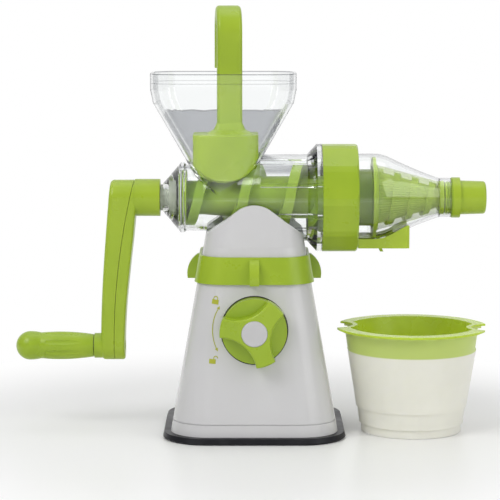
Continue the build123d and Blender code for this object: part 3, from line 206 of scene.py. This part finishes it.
def stretched(tree, vector, scale):
    mapping = tree.nodes.new("ShaderNodeMapping")
    feed(tree, vector, mapping.inputs["Vector"])
    mapping.inputs["Scale"].default_value = scale
    return mapping.outputs[0]


def noise(tree, vector, scale, detail=2.0):
    texture = tree.nodes.new("ShaderNodeTexNoise")
    feed(tree, vector, texture.inputs["Vector"])
    texture.inputs["Scale"].default_value = scale
    texture.inputs["Detail"].default_value = detail
    return texture.outputs["Fac"]


def span(tree, value, low, high, to_low, to_high, smooth=False):
    """Map a value from one range to another, held at both ends."""
    ranged = tree.nodes.new("ShaderNodeMapRange")
    ranged.interpolation_type = "SMOOTHSTEP" if smooth else "LINEAR"
    feed(tree, value, ranged.inputs["Value"])
    for name, number in (("From Min", low), ("From Max", high),
                         ("To Min", to_low), ("To Max", to_high)):
        feed(tree, number, ranged.inputs[name])
    return ranged.outputs["Result"]


def sums(tree, kind, first, second):
    step = tree.nodes.new("ShaderNodeMath")
    step.operation = kind
    feed(tree, first, step.inputs[0])
    feed(tree, second, step.inputs[1])
    return step.outputs[0]


def tint(tree, share, first, second):
    mixed = tree.nodes.new("ShaderNodeMix")
    mixed.data_type = "RGBA"
    feed(tree, share, mixed.inputs["Factor"])
    feed(tree, first, mixed.inputs[6])
    feed(tree, second, mixed.inputs[7])
    return mixed.outputs[2]


def bumped(tree, height, distance, strength=1.0):
    bump = tree.nodes.new("ShaderNodeBump")
    bump.inputs["Strength"].default_value = strength
    bump.inputs["Distance"].default_value = distance
    feed(tree, height, bump.inputs["Height"])
    return bump.outputs[0]


def surface(tree, **inputs):
    """A Principled shader. Names of inputs have underscores for spaces."""
    shader = tree.nodes.new("ShaderNodeBsdfPrincipled")
    for name, value in inputs.items():
        feed(tree, value, shader.inputs[name.replace("_", " ")])
    return shader.outputs[0]


def moulded(name, low, high, roughness=0.30, grain=0.000012, gloss=0.5, glow=0.0):
    """Injection-moulded plastic: soft flow variation, fine grain, handled gloss."""
    material, tree, output = finish_tree(name)
    where = place(tree)
    flow = noise(tree, stretched(tree, where, (1.0, 1.0, 0.45)), 26.0, 3.0)
    fine = noise(tree, where, 1500.0, 2.0)
    rubbed = noise(tree, where, 60.0, 5.0)
    shade = tint(tree, span(tree, flow, 0.32, 0.68, 0.0, 1.0), low, high)
    rough = span(tree, rubbed, 0.35, 0.7, roughness - 0.04, roughness + 0.07)
    look = surface(tree, Base_Color=shade, Roughness=rough, IOR=1.49,
                   Specular_IOR_Level=gloss, Normal=bumped(tree, fine, grain))
    if glow:
        shader = look.node
        shader.inputs["Subsurface Weight"].default_value = glow
        shader.inputs["Subsurface Radius"].default_value = (1.0, 1.0, 0.4)
        shader.inputs["Subsurface Scale"].default_value = 0.003
    tree.links.new(look, output.inputs["Surface"])
    return material


def brushed(name, base):
    """Turned steel: fine rings round the axis, bright and narrow highlights."""
    material, tree, output = finish_tree(name)
    rings = noise(tree, stretched(tree, place(tree), (60.0, 4.0, 4.0)), 120.0, 3.0)
    rough = span(tree, rings, 0.3, 0.7, 0.20, 0.36)
    shade = tint(tree, rings, [0.85 * c for c in base], base)
    look = surface(tree, Base_Color=shade, Roughness=rough, Metallic=1.0,
                   Normal=bumped(tree, rings, 0.000004))
    tree.links.new(look, output.inputs["Surface"])
    return material


def rubbery(name, base, roughness=0.42):
    """Moulded rubber: dark, satin, with dust in its grain."""
    material, tree, output = finish_tree(name)
    where = place(tree)
    dust = noise(tree, where, 90.0, 6.0)
    fine = noise(tree, where, 1100.0, 3.0)
    shade = tint(tree, span(tree, dust, 0.5, 0.85, 0.0, 0.35), base, [c + 0.035 for c in base])
    rough = span(tree, dust, 0.3, 0.8, roughness - 0.05, roughness + 0.15)
    look = surface(tree, Base_Color=shade, Roughness=rough, Specular_IOR_Level=0.20,
                   Normal=bumped(tree, fine, 0.00002))
    tree.links.new(look, output.inputs["Surface"])
    return material


def seen_rays(tree):
    """1 for what is seen straight, in a reflection or through clear walls."""
    path = tree.nodes.new("ShaderNodeLightPath")
    through = sums(tree, "MAXIMUM", path.outputs["Is Transmission Ray"],
                   path.outputs["Is Glossy Ray"])
    return sums(tree, "MAXIMUM", path.outputs["Is Camera Ray"], through)


def lamp_passing(tree, look, output, through):
    """Let lamp light through clear walls, so that what is inside is lit."""
    window = tree.nodes.new("ShaderNodeBsdfTransparent")
    window.inputs["Color"].default_value = (*through, 1.0)
    path = tree.nodes.new("ShaderNodeLightPath")
    mixed = tree.nodes.new("ShaderNodeMixShader")
    tree.links.new(path.outputs["Is Shadow Ray"], mixed.inputs[0])
    tree.links.new(look, mixed.inputs[1])
    tree.links.new(window.outputs[0], mixed.inputs[2])
    tree.links.new(mixed.outputs[0], output.inputs["Surface"])


def clear_wall(name, frosted):
    """Clear moulded plastic with faint flow waves and painted shade: dark lines where the walls
    turn sideways. The hopper's back wall is frosted, and painted dark lines run along its rim, its
    ledge and the frost's top.
    """
    shades = colours()
    material, tree, output = finish_tree(name)
    where = place(tree)
    waves = noise(tree, where, 45.0, 1.0)
    scuffs = noise(tree, where, 240.0, 4.0)
    rough = span(tree, scuffs, 0.45, 0.8, 0.015, 0.06)
    x, y, z = parts_of(tree, where)
    # Painted shade: the tint darkens where the walls face sideways, as dark outlines at their
    # edges.
    facing = sums(tree, "ABSOLUTE", parts_of(tree, outward(tree))[1], 0.0)
    thick = span(tree, facing, 0.04, 0.30, 1.0, 0.0, smooth=True)
    if frosted:
        # Painted shade: dark lines along the top of the rim and along the ledge.
        painted_rim_line = span(tree, z, HOPPER_RIM_Z - 0.0012, HOPPER_RIM_Z - 0.0006, 0.0, 1.0)
        thick = sums(tree, "MAXIMUM", painted_rim_line, sums(
            tree, "MULTIPLY", thick, span(tree, z, HOPPER_FOOT_Z, HOPPER_FOOT_Z + 0.01, 0.3, 1.0)))
        ledge = sums(tree, "ABSOLUTE", sums(tree, "SUBTRACT", z, HOPPER_LEDGE_Z), 0.0)
        thick = sums(tree, "MAXIMUM", thick, span(tree, ledge, 0.0002, 0.0005, 0.55, 0.0))
    base = tint(tree, thick, shades.clear[:], shades.edge[:])
    if frosted:
        back = span(tree, y, FROST_BACK_Y, FROST_BACK_END_Y, 0.0, 1.0)
        wavy = sums(tree, "ADD", z, span(tree, noise(tree, where, 55.0), 0.0, 1.0, -0.0015, 0.0015))
        low = span(tree, wavy, FROST_TOP_Z - 0.001, FROST_TOP_Z + 0.001, 1.0, 0.0, smooth=True)
        high = span(tree, z, FROST_LOW_Z, FROST_LOW_END_Z, 0.0, 1.0)
        zone = sums(tree, "MULTIPLY", sums(tree, "MULTIPLY", low, high), back)
        grain = noise(tree, where, 900.0, 4.0)
        dusty = tint(tree, span(tree, grain, 0.3, 0.7, 0.0, 1.0), shades.frost[:],
                     [1.12 * c for c in shades.frost])
        base = tint(tree, zone, base, dusty)
        rough = sums(tree, "ADD", rough, sums(tree, "MULTIPLY", zone, 0.45))
        # Painted shade: a dark line along the top edge of the frosted zone.
        frost_edge_shade = sums(tree, "ABSOLUTE", sums(tree, "SUBTRACT", wavy, FROST_TOP_Z), 0.0)
        frost_edge_shade = sums(tree, "MULTIPLY", span(tree, frost_edge_shade, 0.0003, 0.0009, 0.75, 0.0), back)
        base = tint(tree, frost_edge_shade, base, [0.5 * c for c in shades.frost])
    look = surface(tree, Base_Color=base, Roughness=rough, IOR=1.47, Transmission_Weight=1.0,
                   Specular_IOR_Level=0.35,
                   Normal=bumped(tree, waves, 0.00012, 0.5))
    lamp_passing(tree, look, output, (0.93, 0.945, 0.945))
    return material


def milky_wall(name):
    """Cloudy cup plastic: the green insert shows through its upper part, drawn in the painted-light
    lime.
    """
    shades = colours()
    material, tree, output = finish_tree(name)
    where = place(tree)
    z = parts_of(tree, where)[2]
    clouds = noise(tree, where, 35.0, 3.0)
    fine = noise(tree, where, 1300.0, 2.0)
    cloudy = tint(tree, span(tree, clouds, 0.3, 0.7, 0.0, 1.0), shades.milky[:],
                  [1.05 * c for c in shades.milky])
    # The insert's band is partly real colour seen through the wall and partly painted light, drawn
    # in the lighter lime.
    band = span(tree, z, RIM_SKIRT_Z - 0.0008, RIM_SKIRT_Z + 0.0004, 0.0, 0.80, smooth=True)
    shade = tint(tree, band, cloudy, shades.lime_painted_light[:])
    rough = span(tree, clouds, 0.3, 0.7, 0.30, 0.40)
    look = surface(tree, Base_Color=shade, Roughness=rough, IOR=1.50,
                   Subsurface_Weight=0.35, Subsurface_Scale=0.004,
                   Subsurface_Radius=(1.0, 1.0, 0.8), Normal=bumped(tree, fine, 0.00001))
    tree.links.new(look, output.inputs["Surface"])
    return material


def fine_mesh(name):
    """A net of fine holes that follow the strainer's cone."""
    shades = colours()
    material, tree, output = finish_tree(name)
    x, y, z = parts_of(tree, place(tree))
    turn = sums(tree, "ARCTAN2", y, sums(tree, "SUBTRACT", z, AXIS_Z))
    rounds = sums(tree, "MULTIPLY", turn, sizes().mesh_rows / 2.0)
    lines = sums(tree, "MULTIPLY", x, 2.0 * math.pi / 0.0011)
    ridge = sums(tree, "MAXIMUM", sums(tree, "SINE", rounds, 0.0), sums(tree, "SINE", lines, 0.0))
    wires = span(tree, ridge, 0.70, 0.95, 0.08, 0.42)
    worn = noise(tree, place(tree), 70.0, 3.0)
    shade = tint(tree, worn, shades.mesh[:], shades.lime_pale[:])
    look = surface(tree, Base_Color=shade, Roughness=span(tree, worn, 0.3, 0.7, 0.35, 0.5),
                   Alpha=wires, Normal=bumped(tree, ridge, 0.00006))
    tree.links.new(look, output.inputs["Surface"])
    return material


def dress(material, *names):
    for name in names:
        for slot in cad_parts[name].material_slots:
            slot.material = material


# ---- mesh helpers -----------------------------------------------------------
def new_piece(name, bm, material, body):
    """Turn a bmesh into a piece that rides on a body."""
    bmesh.ops.remove_doubles(bm, verts=bm.verts, dist=1e-6)
    bmesh.ops.recalc_face_normals(bm, faces=bm.faces)
    mesh = bpy.data.meshes.new(name)
    bm.to_mesh(mesh)
    bm.free()
    mesh.materials.append(material)
    piece = bpy.data.objects.new(name, mesh)
    bpy.context.scene.collection.objects.link(piece)
    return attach(piece, body)


def patch(bm, corners, across, along, lift):
    """A field of quads between four flat corners, put on a surface by lift."""
    rows = []
    for j in range(along + 1):
        row = []
        for i in range(across + 1):
            u, v = i / across, j / along
            low = corners[0].lerp(corners[1], u)
            high = corners[3].lerp(corners[2], u)
            row.append(bm.verts.new(lift(low.lerp(high, v))))
        rows.append(row)
    for j in range(along):
        for i in range(across):
            bm.faces.new((rows[j][i], rows[j][i + 1], rows[j + 1][i + 1], rows[j + 1][i]))


def stroke(bm, points, width, lift):
    """A line of quads of even width through flat points."""
    for first, second in zip(points, points[1:]):
        side = (second - first).orthogonal().normalized() * (width / 2)
        ends = (second - first).normalized() * (width / 8)
        patch(bm, [first - side - ends, first + side - ends, second + side + ends,
                   second - side + ends], 2, 1, lift)


def ring_points(centre, radius, start, end, steps):
    return [Vector((centre[0] + radius * math.cos(a), centre[1] + radius * math.sin(a)))
            for a in (math.radians(start + (end - start) * i / steps) for i in range(steps + 1))]


def turned(profile, steps):
    """A closed (x, radius) outline turned about the auger axis."""
    bm = bmesh.new()
    rings = []
    for i in range(steps):
        angle = 2 * math.pi * i / steps
        rings.append([bm.verts.new((x, r * math.sin(angle), AXIS_Z + r * math.cos(angle)))
                      for x, r in profile])
    count = len(profile)
    for i in range(steps):
        here, there = rings[i], rings[(i + 1) % steps]
        for j in range(count):
            k = (j + 1) % count
            bm.faces.new((here[j], here[k], there[k], there[j]))
    return bm


def smooth(piece, angle=40.0):
    for face in piece.data.polygons:
        face.use_smooth = True
    piece.data.set_sharp_from_angle(angle=math.radians(angle))


# ---- pieces -----------------------------------------------------------------
class JUICER_OT_green_parts(bpy.types.Operator):
    """Give the lime parts their moulded finish, the auger in painted shade and the cup's rim and
    the tray in painted light
    """
    bl_idname = "juicer.green_parts"
    bl_label = "Lime parts"

    def execute(self, context):
        shades = colours()
        lime = moulded("lime_gloss", shades.lime[:], shades.lime_pale[:], 0.30)
        dress(lime, "lock_collar", "screw_ring", "pulp_cap", "cap_plug", "knob", "pusher",
              "crank_inner_shell", "crank_outer_shell", "crank_grip")
        # Painted shade: the auger is drawn in the darker lime.
        dress(moulded("lime_inside_painted_shade", shades.lime_painted_shade[:], shades.lime[:], 0.34), "auger")
        # Painted light: the cup's rim is drawn in the lighter lime, as if glowing.
        dress(moulded("lime_rim_painted_light", shades.lime_painted_light[:], [1.1 * c for c in shades.lime_painted_light], 0.26,
                      glow=0.25), "cup_rim")
        # Painted light: the tray is drawn in the lighter limes.
        dress(moulded("lime_tray_painted_light", shades.lime_pale[:], shades.lime_painted_light[:], 0.30), "juice_tray")
        return {"FINISHED"}


class JUICER_OT_white_parts(bpy.types.Operator):
    """Give the tower, its plate and the knob's cap their white finish"""
    bl_idname = "juicer.white_parts"
    bl_label = "White parts"

    def execute(self, context):
        white = colours().white[:]
        dress(moulded("tower_white", [0.97 * c for c in white], white, 0.20, 0.000006, 0.55),
              "tower_shell", "base_plate")
        pale = [0.86 * c for c in white]
        dress(moulded("cap_white", pale, [0.90 * c for c in white], 0.34), "knob_cap")
        return {"FINISHED"}


class JUICER_OT_clear_parts(bpy.types.Operator):
    """Give the hopper, barrel and nozzle their clear walls"""
    bl_idname = "juicer.clear_parts"
    bl_label = "Clear parts"

    def execute(self, context):
        dress(clear_wall("clear_body", True), "juicer_body")
        dress(clear_wall("clear_nozzle", False), "nozzle_housing", "nozzle_neck")
        return {"FINISHED"}


class JUICER_OT_rubber_parts(bpy.types.Operator):
    """Give the suction foot and the seals their rubber"""
    bl_idname = "juicer.rubber_parts"
    bl_label = "Rubber parts"

    def execute(self, context):
        base = colours().rubber[:]
        dress(rubbery("foot_rubber", base, 0.34), "suction_pad")
        dress(rubbery("seal_rubber", [c + 0.02 for c in base]), "knob_seal")
        seal = colours().seal[:]
        dress(moulded("clouded_seal", [0.85 * c for c in seal], seal, 0.4), "shaft_seal",
              "flange_gasket")
        # The cap's seal is drawn in the painted-shade lime.
        dress(moulded("cap_seal_green", colours().lime_painted_shade[:], colours().lime[:], 0.4), "cap_seal")
        return {"FINISHED"}


class JUICER_OT_small_parts(bpy.types.Operator):
    """Give bearings, shafts, pins and screws their finish"""
    bl_idname = "juicer.small_parts"
    bl_label = "Bearings and steel"

    def execute(self, context):
        shades = colours()
        grey = shades.grey[:]
        dress(moulded("bearing_grey", [0.85 * c for c in grey], grey, 0.26, 0.00001, 0.6),
              "shaft_bush", "rear_bearing", "knob_bush", "cam_disc", "pull_rod")
        dress(brushed("turned_steel", shades.steel[:]), "drive_shaft", "grip_pin", "crank_screw",
              "base_screws", "knob_shaft", "cam_pin", "rod_foot")
        return {"FINISHED"}


class JUICER_OT_cup(bpy.types.Operator):
    """Give the juice cup its cloudy plastic"""
    bl_idname = "juicer.cup"
    bl_label = "Juice cup"

    def execute(self, context):
        dress(milky_wall("cup_cloudy"), "cup_body")
        return {"FINISHED"}


class JUICER_OT_pusher_head(bpy.types.Operator):
    """Make the pusher's rounded head, hollowed below for the auger"""
    bl_idname = "juicer.pusher_head"
    bl_label = "Pusher head"

    def underside(self, x, y):
        """Height of the head's underside: a belly, kept off the auger and the throat."""
        along = (x - HEAD_X) / HEAD_HALF_WIDTH
        across = abs(y) / HEAD_HALF_DEPTH
        room = max(0.0, 1.0 - along ** 2 - HEAD_END_RISE * across ** 4)
        belly = HEAD_BELLY_Z - HEAD_DROP * math.sqrt(room)
        grown = min(max((x - SADDLE_START_X) / SADDLE_LENGTH, 0.0), 1.0)
        clear = SADDLE_RADIUS + SADDLE_GROWTH * grown
        saddle = AXIS_Z + math.sqrt(max(0.0, clear ** 2 - y ** 2))
        right = THROAT_Z + (x - THROAT_RIGHT_X) * THROAT_STEEP
        left = THROAT_Z + (THROAT_LEFT_X - x) * THROAT_STEEP
        return max(belly, saddle, right, left)

    def edge(self, angle):
        """The head's outline seen from above: a rectangle with full corners."""
        c, s = math.cos(angle), math.sin(angle)
        return (HEAD_X + HEAD_HALF_WIDTH * math.copysign(abs(c) ** HEAD_FULLNESS, c),
                HEAD_HALF_DEPTH * math.copysign(abs(s) ** HEAD_FULLNESS, s))

    def execute(self, context):
        around, inward, bend = HEAD_AROUND, HEAD_INWARD, HEAD_BEND
        bm = bmesh.new()
        rings = []
        for j in range(inward):
            share = (j + 1) / inward
            ring = []
            for i in range(around):
                x, y = self.edge(2 * math.pi * i / around)
                x, y = HEAD_X + (x - HEAD_X) * share, y * share
                ring.append(bm.verts.new((x, y, self.underside(x, y))))
            rings.append(ring)
        for j in range(bend + 1):
            turn = math.pi / 2 * j / bend
            draw = 1.0 - (1.0 - math.cos(turn)) * HEAD_ROUND / HEAD_HALF_DEPTH
            z = HEAD_TOP_Z - HEAD_ROUND * (1.0 - math.sin(turn))
            ring = []
            for i in range(around):
                x, y = self.edge(2 * math.pi * i / around)
                ring.append(bm.verts.new((HEAD_X + (x - HEAD_X) * draw, y * draw, z)))
            rings.append(ring)
        for here, there in zip(rings, rings[1:]):
            for i in range(around):
                k = (i + 1) % around
                bm.faces.new((here[i], here[k], there[k], there[i]))
        bm.faces.new(rings[-1])
        middle = bm.verts.new((HEAD_X, 0.0, self.underside(HEAD_X, 0.0)))
        for i in range(around):
            bm.faces.new((rings[0][(i + 1) % around], rings[0][i], middle))
        lime = bpy.data.materials["lime_gloss"]
        smooth(new_piece("pusher_head", bm, lime, "pusher"), 35)
        return {"FINISHED"}


class JUICER_OT_strainer_mesh(bpy.types.Operator):
    """Make the strainer cone of fine mesh with its frame"""
    bl_idname = "juicer.strainer_mesh"
    bl_label = "Strainer mesh"

    def execute(self, context):
        shades = colours()
        wire = sizes().mesh_wire
        collar_low, collar_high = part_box("strainer_collar")
        start, flange = collar_low.x, collar_high.z - AXIS_Z
        thick = start + COLLAR_THICK
        end_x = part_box("strainer")[1].x
        rise = (CONE_END_RADIUS - CONE_START_RADIUS) / (CONE_END_X - CONE_START_X)

        def cone(x):
            return CONE_START_RADIUS + rise * (x - CONE_START_X)

        places = [CLOTH_START_X + i * (CONE_END_X - CLOTH_START_X) / CLOTH_LENGTHS
                  for i in range(CLOTH_LENGTHS + 1)]
        cloth = turned([(x, cone(x)) for x in places]
                       + [(CONE_END_X, cone(CONE_END_X) - wire),
                          (CLOTH_START_X, cone(CLOTH_START_X) - wire)], TURNED_STEPS)
        net = new_piece("strainer_net", cloth, fine_mesh("strainer_mesh"), "base")
        smooth(net, 50)
        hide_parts("strainer")

        sleeve = cone(COLLAR_SLEEVE_X)
        frame_rings = turned([(start, CONE_START_RADIUS - CONE_WALL), (start, flange),
                              (thick, flange), (thick, CONE_START_RADIUS + 0.0004),
                              (COLLAR_SLEEVE_X, sleeve + 0.0003),
                              (COLLAR_SLEEVE_X, sleeve - CONE_WALL)], TURNED_STEPS)
        band_x = CONE_END_X - 0.0016
        end = turned([(band_x, cone(band_x) - 0.0010), (band_x, cone(band_x) + 0.0004),
                      (CONE_END_X, STRAINER_END_RING), (end_x, STRAINER_END_RING),
                      (end_x, CONE_END_RADIUS - CONE_WALL)], TURNED_STEPS)
        finish = moulded("strainer_frame", shades.lime[:], shades.lime_pale[:], 0.36)
        for name, rings, node in (("strainer_flange", frame_rings, "strainer_collar"),
                                  ("strainer_end", end, "strainer")):
            piece = new_piece(name, rings, finish, "base")
            smooth(piece, 30)
            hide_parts(node)
        return {"FINISHED"}


class JUICER_OT_cap_thread(bpy.types.Operator):
    """Make the thread on the cap's plug"""
    bl_idname = "juicer.cap_thread"
    bl_label = "Cap thread"

    def execute(self, context):
        pitch, height = sizes().thread_pitch, sizes().thread_height
        turns = (PLUG_END_X - PLUG_START_X - pitch / 2) / pitch
        steps = int(turns * 48)
        bm = bmesh.new()
        rows = []
        for i in range(steps + 1):
            share = i / steps
            angle = 2 * math.pi * turns * share
            fade = min(1.0, 8 * share, 8 * (1 - share))
            x = PLUG_START_X + pitch * turns * share
            row = []
            for dx, dr in ((0.0, -0.0002), (pitch * 0.25, height * fade),
                           (pitch * 0.40, height * fade), (pitch * 0.65, -0.0002)):
                r = PLUG_RADIUS + dr
                row.append(bm.verts.new((x + dx, r * math.sin(angle),
                                         AXIS_Z + r * math.cos(angle))))
            rows.append(row)
        for here, there in zip(rows, rows[1:]):
            for j in range(4):
                k = (j + 1) % 4
                bm.faces.new((here[j], here[k], there[k], there[j]))
        bm.faces.new(rows[0])
        bm.faces.new(rows[-1])
        shades = colours()
        # The thread's low tone is the painted-shade lime.
        finish = moulded("thread_green", shades.lime_painted_shade[:], shades.lime[:], 0.34)
        new_piece("cap_plug_thread", bm, finish, "cap")
        return {"FINISHED"}


def tower_front(point):
    """Put a flat (x, z) point on the tower's front and rounded corner."""
    half = TOWER_FOOT_HALF - TOWER_LEAN * (point.y - FOOT_Z)
    corner = TOWER_FOOT_CORNER - TOWER_CORNER_DRAW * (point.y - FOOT_Z)
    past = max(0.0, abs(point.x) - (half - corner))
    y = -(half - corner) - math.sqrt(corner * corner - past * past)
    return Vector((point.x, y, point.y))


class JUICER_OT_tower_signs(bpy.types.Operator):
    """Print the locked and unlocked signs and the turning arrow on the tower"""
    bl_idname = "juicer.tower_signs"
    bl_label = "Tower signs"

    def padlock(self, bm, centre, tilt, swung):
        """A padlock: a plain plate and a bow, which is swung out if it is open."""
        wide, high = sizes().lock_width, sizes().lock_height
        turn = math.radians(tilt)

        def spot(u, v):
            return Vector((centre[0] + u * math.cos(turn) - v * math.sin(turn),
                           centre[1] + u * math.sin(turn) + v * math.cos(turn)))

        corners = [spot(-wide / 2, -high), spot(wide / 2, -high), spot(wide / 2, 0),
                   spot(-wide / 2, 0)]
        patch(bm, corners, 6, 4, tower_front)
        bow = 0.0015
        shift = bow * 1.6 if swung else 0.0
        line = [spot(shift - bow, -0.0001)]
        line += [spot(shift + bow * math.cos(math.radians(180 - a)),
                      0.0009 + bow * math.sin(math.radians(a))) for a in range(0, 181, 20)]
        if not swung:
            line.append(spot(shift + bow, -0.0001))
        stroke(bm, line, 0.0007, tower_front)

    def arrow_head(self, bm, angle, way):
        """A pointed head on the turning arrow, at an angle about the knob."""
        radius, reach = sizes().sign_radius, 0.0027
        turn = math.radians(angle)
        out = Vector((math.cos(turn), math.sin(turn)))
        ahead = Vector((-out.y, out.x)) * way
        base = Vector(KNOB_CENTRE) + out * radius
        tip = base + ahead * reach
        side = out * 0.0013
        patch(bm, [base - side, base + side, tip, tip], 4, 4, tower_front)

    def execute(self, context):
        bm = bmesh.new()
        self.padlock(bm, (-0.0302, 0.1105), -8.0, False)
        self.padlock(bm, (-0.0325, 0.0650), -4.0, True)
        points = ring_points(KNOB_CENTRE, sizes().sign_radius, 150.0, 205.0, 34)
        stroke(bm, points, sizes().sign_stroke, tower_front)
        self.arrow_head(bm, 150.0, -1)
        self.arrow_head(bm, 205.0, 1)
        bmesh.ops.remove_doubles(bm, verts=bm.verts, dist=1e-6)
        for face in list(bm.faces):
            if face.normal.y > 0:
                face.normal_flip()
        raised = bmesh.ops.extrude_face_region(bm, geom=bm.faces[:])
        lift = Vector((0.0, -sizes().print_height, 0.0))
        for vert in (g for g in raised["geom"] if isinstance(g, bmesh.types.BMVert)):
            vert.co += lift
        shades = colours()
        ink = moulded("sign_ink", shades.olive[:], [1.1 * c for c in shades.olive], 0.45)
        new_piece("tower_signs", bm, ink, "base")
        return {"FINISHED"}


# ---- stage ------------------------------------------------------------------
class JUICER_OT_stage(bpy.types.Operator):
    """Set the floor, the room light, the lamps and the camera"""
    bl_idname = "juicer.stage"
    bl_label = "Stage"

    def lamp(self, name, spot, aim, size, power, shade=(1.0, 1.0, 1.0)):
        data = bpy.data.lights.new(name, "AREA")
        data.shape = "RECTANGLE"
        data.size, data.size_y = size
        data.energy = power * bpy.context.scene.juicer_stage.lamp_light
        data.color = shade
        lamp = bpy.data.objects.new(name, data)
        bpy.context.scene.collection.objects.link(lamp)
        lamp.location = spot
        lamp.rotation_euler = (Vector(aim) - Vector(spot)).to_track_quat("-Z", "Y").to_euler()

    def floor(self):
        material, tree, output = finish_tree("studio_floor")
        where = place(tree)
        speck = noise(tree, where, 3.0, 2.0)
        shade = tint(tree, speck, (0.955, 0.955, 0.955), (0.965, 0.965, 0.965))
        rough = span(tree, speck, 0.3, 0.7, 0.30, 0.34)
        look = surface(tree, Base_Color=shade, Roughness=rough, Specular_IOR_Level=0.18)
        white = tree.nodes.new("ShaderNodeEmission")
        reach = tree.nodes.new("ShaderNodeVectorMath")
        reach.operation = "LENGTH"
        feed(tree, where, reach.inputs[0])
        far = span(tree, reach.outputs["Value"], 0.18, 0.38, 0.0, 1.0, smooth=True)
        mixed = tree.nodes.new("ShaderNodeMixShader")
        tree.links.new(sums(tree, "MULTIPLY", far, seen_rays(tree)), mixed.inputs[0])
        tree.links.new(look, mixed.inputs[1])
        tree.links.new(white.outputs[0], mixed.inputs[2])
        tree.links.new(mixed.outputs[0], output.inputs["Surface"])
        half = bpy.context.scene.juicer_stage.floor_half
        mesh = bpy.data.meshes.new("studio_floor")
        mesh.from_pydata([(-half, -half, 0), (half, -half, 0), (half, half, 0), (-half, half, 0)],
                         [], [(0, 1, 2, 3)])
        mesh.materials.append(material)
        floor = bpy.data.objects.new("studio_floor", mesh)
        bpy.context.scene.collection.objects.link(floor)
        floor.location.z = -0.0002

    def world(self):
        """White behind the object, softer and darker at the sides for what it lights."""
        world = bpy.data.worlds.new("studio_room")
        world.use_nodes = True
        tree = world.node_tree
        tree.nodes.clear()
        output = tree.nodes.new("ShaderNodeOutputWorld")
        light = tree.nodes.new("ShaderNodeBackground")
        seen = tree.nodes.new("ShaderNodeBackground")
        mixed = tree.nodes.new("ShaderNodeMixShader")
        light.inputs["Strength"].default_value = bpy.context.scene.juicer_stage.world_light
        seen.inputs["Strength"].default_value = 1.0
        clear = seen_rays(tree)
        towards = tree.nodes.new("ShaderNodeTexCoord").outputs["Generated"]
        x, y, z = parts_of(tree, towards)
        side = sums(tree, "ABSOLUTE", x, 0.0)
        dim = span(tree, side, 0.55, 0.95, 1.0, 0.42, smooth=True)
        front = span(tree, y, -0.9, -0.2, 0.60, 1.0, smooth=True)
        shade = sums(tree, "MULTIPLY", dim, front)
        look = tint(tree, shade, (0.0, 0.0, 0.0), (1.0, 1.0, 1.0))
        feed(tree, look, seen.inputs["Color"])
        tree.links.new(clear, mixed.inputs[0])
        tree.links.new(light.outputs[0], mixed.inputs[1])
        tree.links.new(seen.outputs[0], mixed.inputs[2])
        tree.links.new(mixed.outputs[0], output.inputs["Surface"])
        bpy.context.scene.world = world

    def camera(self):
        settings = bpy.context.scene.juicer_stage
        data = bpy.data.cameras.new("studio_camera")
        data.sensor_width = 36.0
        data.lens = settings.focal
        camera = bpy.data.objects.new("studio_camera", data)
        bpy.context.scene.collection.objects.link(camera)
        camera.location = settings.camera_place
        camera.rotation_euler = (math.radians(90.0) - settings.camera_dip, 0.0, 0.0)
        bpy.context.scene.camera = camera

    def execute(self, context):
        context.scene.view_settings.view_transform = "Standard"
        self.camera()
        self.floor()
        self.world()
        centre = (0.0, 0.0, 0.15)
        self.lamp("key", (-0.9, -0.9, 1.3), centre, (0.9, 0.9), 14.0)
        self.lamp("fill", (1.1, -0.8, 0.8), centre, (0.9, 1.1), 7.0)
        self.lamp("low", (0.1, -1.2, 0.10), centre, (1.2, 0.3), 0.8)
        self.lamp("top", (0.0, 0.2, 1.6), centre, (1.4, 1.0), 5.5)
        return {"FINISHED"}


PIECES = (
    JUICER_OT_green_parts, JUICER_OT_white_parts, JUICER_OT_clear_parts, JUICER_OT_rubber_parts,
    JUICER_OT_small_parts, JUICER_OT_cup, JUICER_OT_pusher_head, JUICER_OT_strainer_mesh,
    JUICER_OT_cap_thread, JUICER_OT_tower_signs, JUICER_OT_stage,
)
SETTINGS = (JuicerColours, JuicerSizes, JuicerStage)


class JUICER_PT_pieces(bpy.types.Panel):
    """Lists what the juicer is finished with"""
    bl_idname = "JUICER_PT_pieces"
    bl_label = "Juicer"
    bl_space_type = "VIEW_3D"
    bl_region_type = "UI"
    bl_category = "Juicer"

    def draw(self, context):
        scene = context.scene
        for piece in PIECES:
            self.layout.operator(piece.bl_idname, text=piece.bl_label)
        for settings in (scene.juicer_colours, scene.juicer_sizes, scene.juicer_stage):
            box = self.layout.box()
            for name in settings.__annotations__:
                box.prop(settings, name)


def register():
    for group in SETTINGS + PIECES + (JUICER_PT_pieces,):
        bpy.utils.register_class(group)
    bpy.types.Scene.juicer_colours = PointerProperty(type=JuicerColours)
    bpy.types.Scene.juicer_sizes = PointerProperty(type=JuicerSizes)
    bpy.types.Scene.juicer_stage = PointerProperty(type=JuicerStage)


def unregister():
    del bpy.types.Scene.juicer_stage
    del bpy.types.Scene.juicer_sizes
    del bpy.types.Scene.juicer_colours
    for group in reversed(SETTINGS + PIECES + (JUICER_PT_pieces,)):
        bpy.utils.unregister_class(group)


def main():
    register()
    for piece in PIECES:
        group, name = piece.bl_idname.split(".")
        getattr(getattr(bpy.ops, group), name)()


if __name__ == "__main__":
    main()
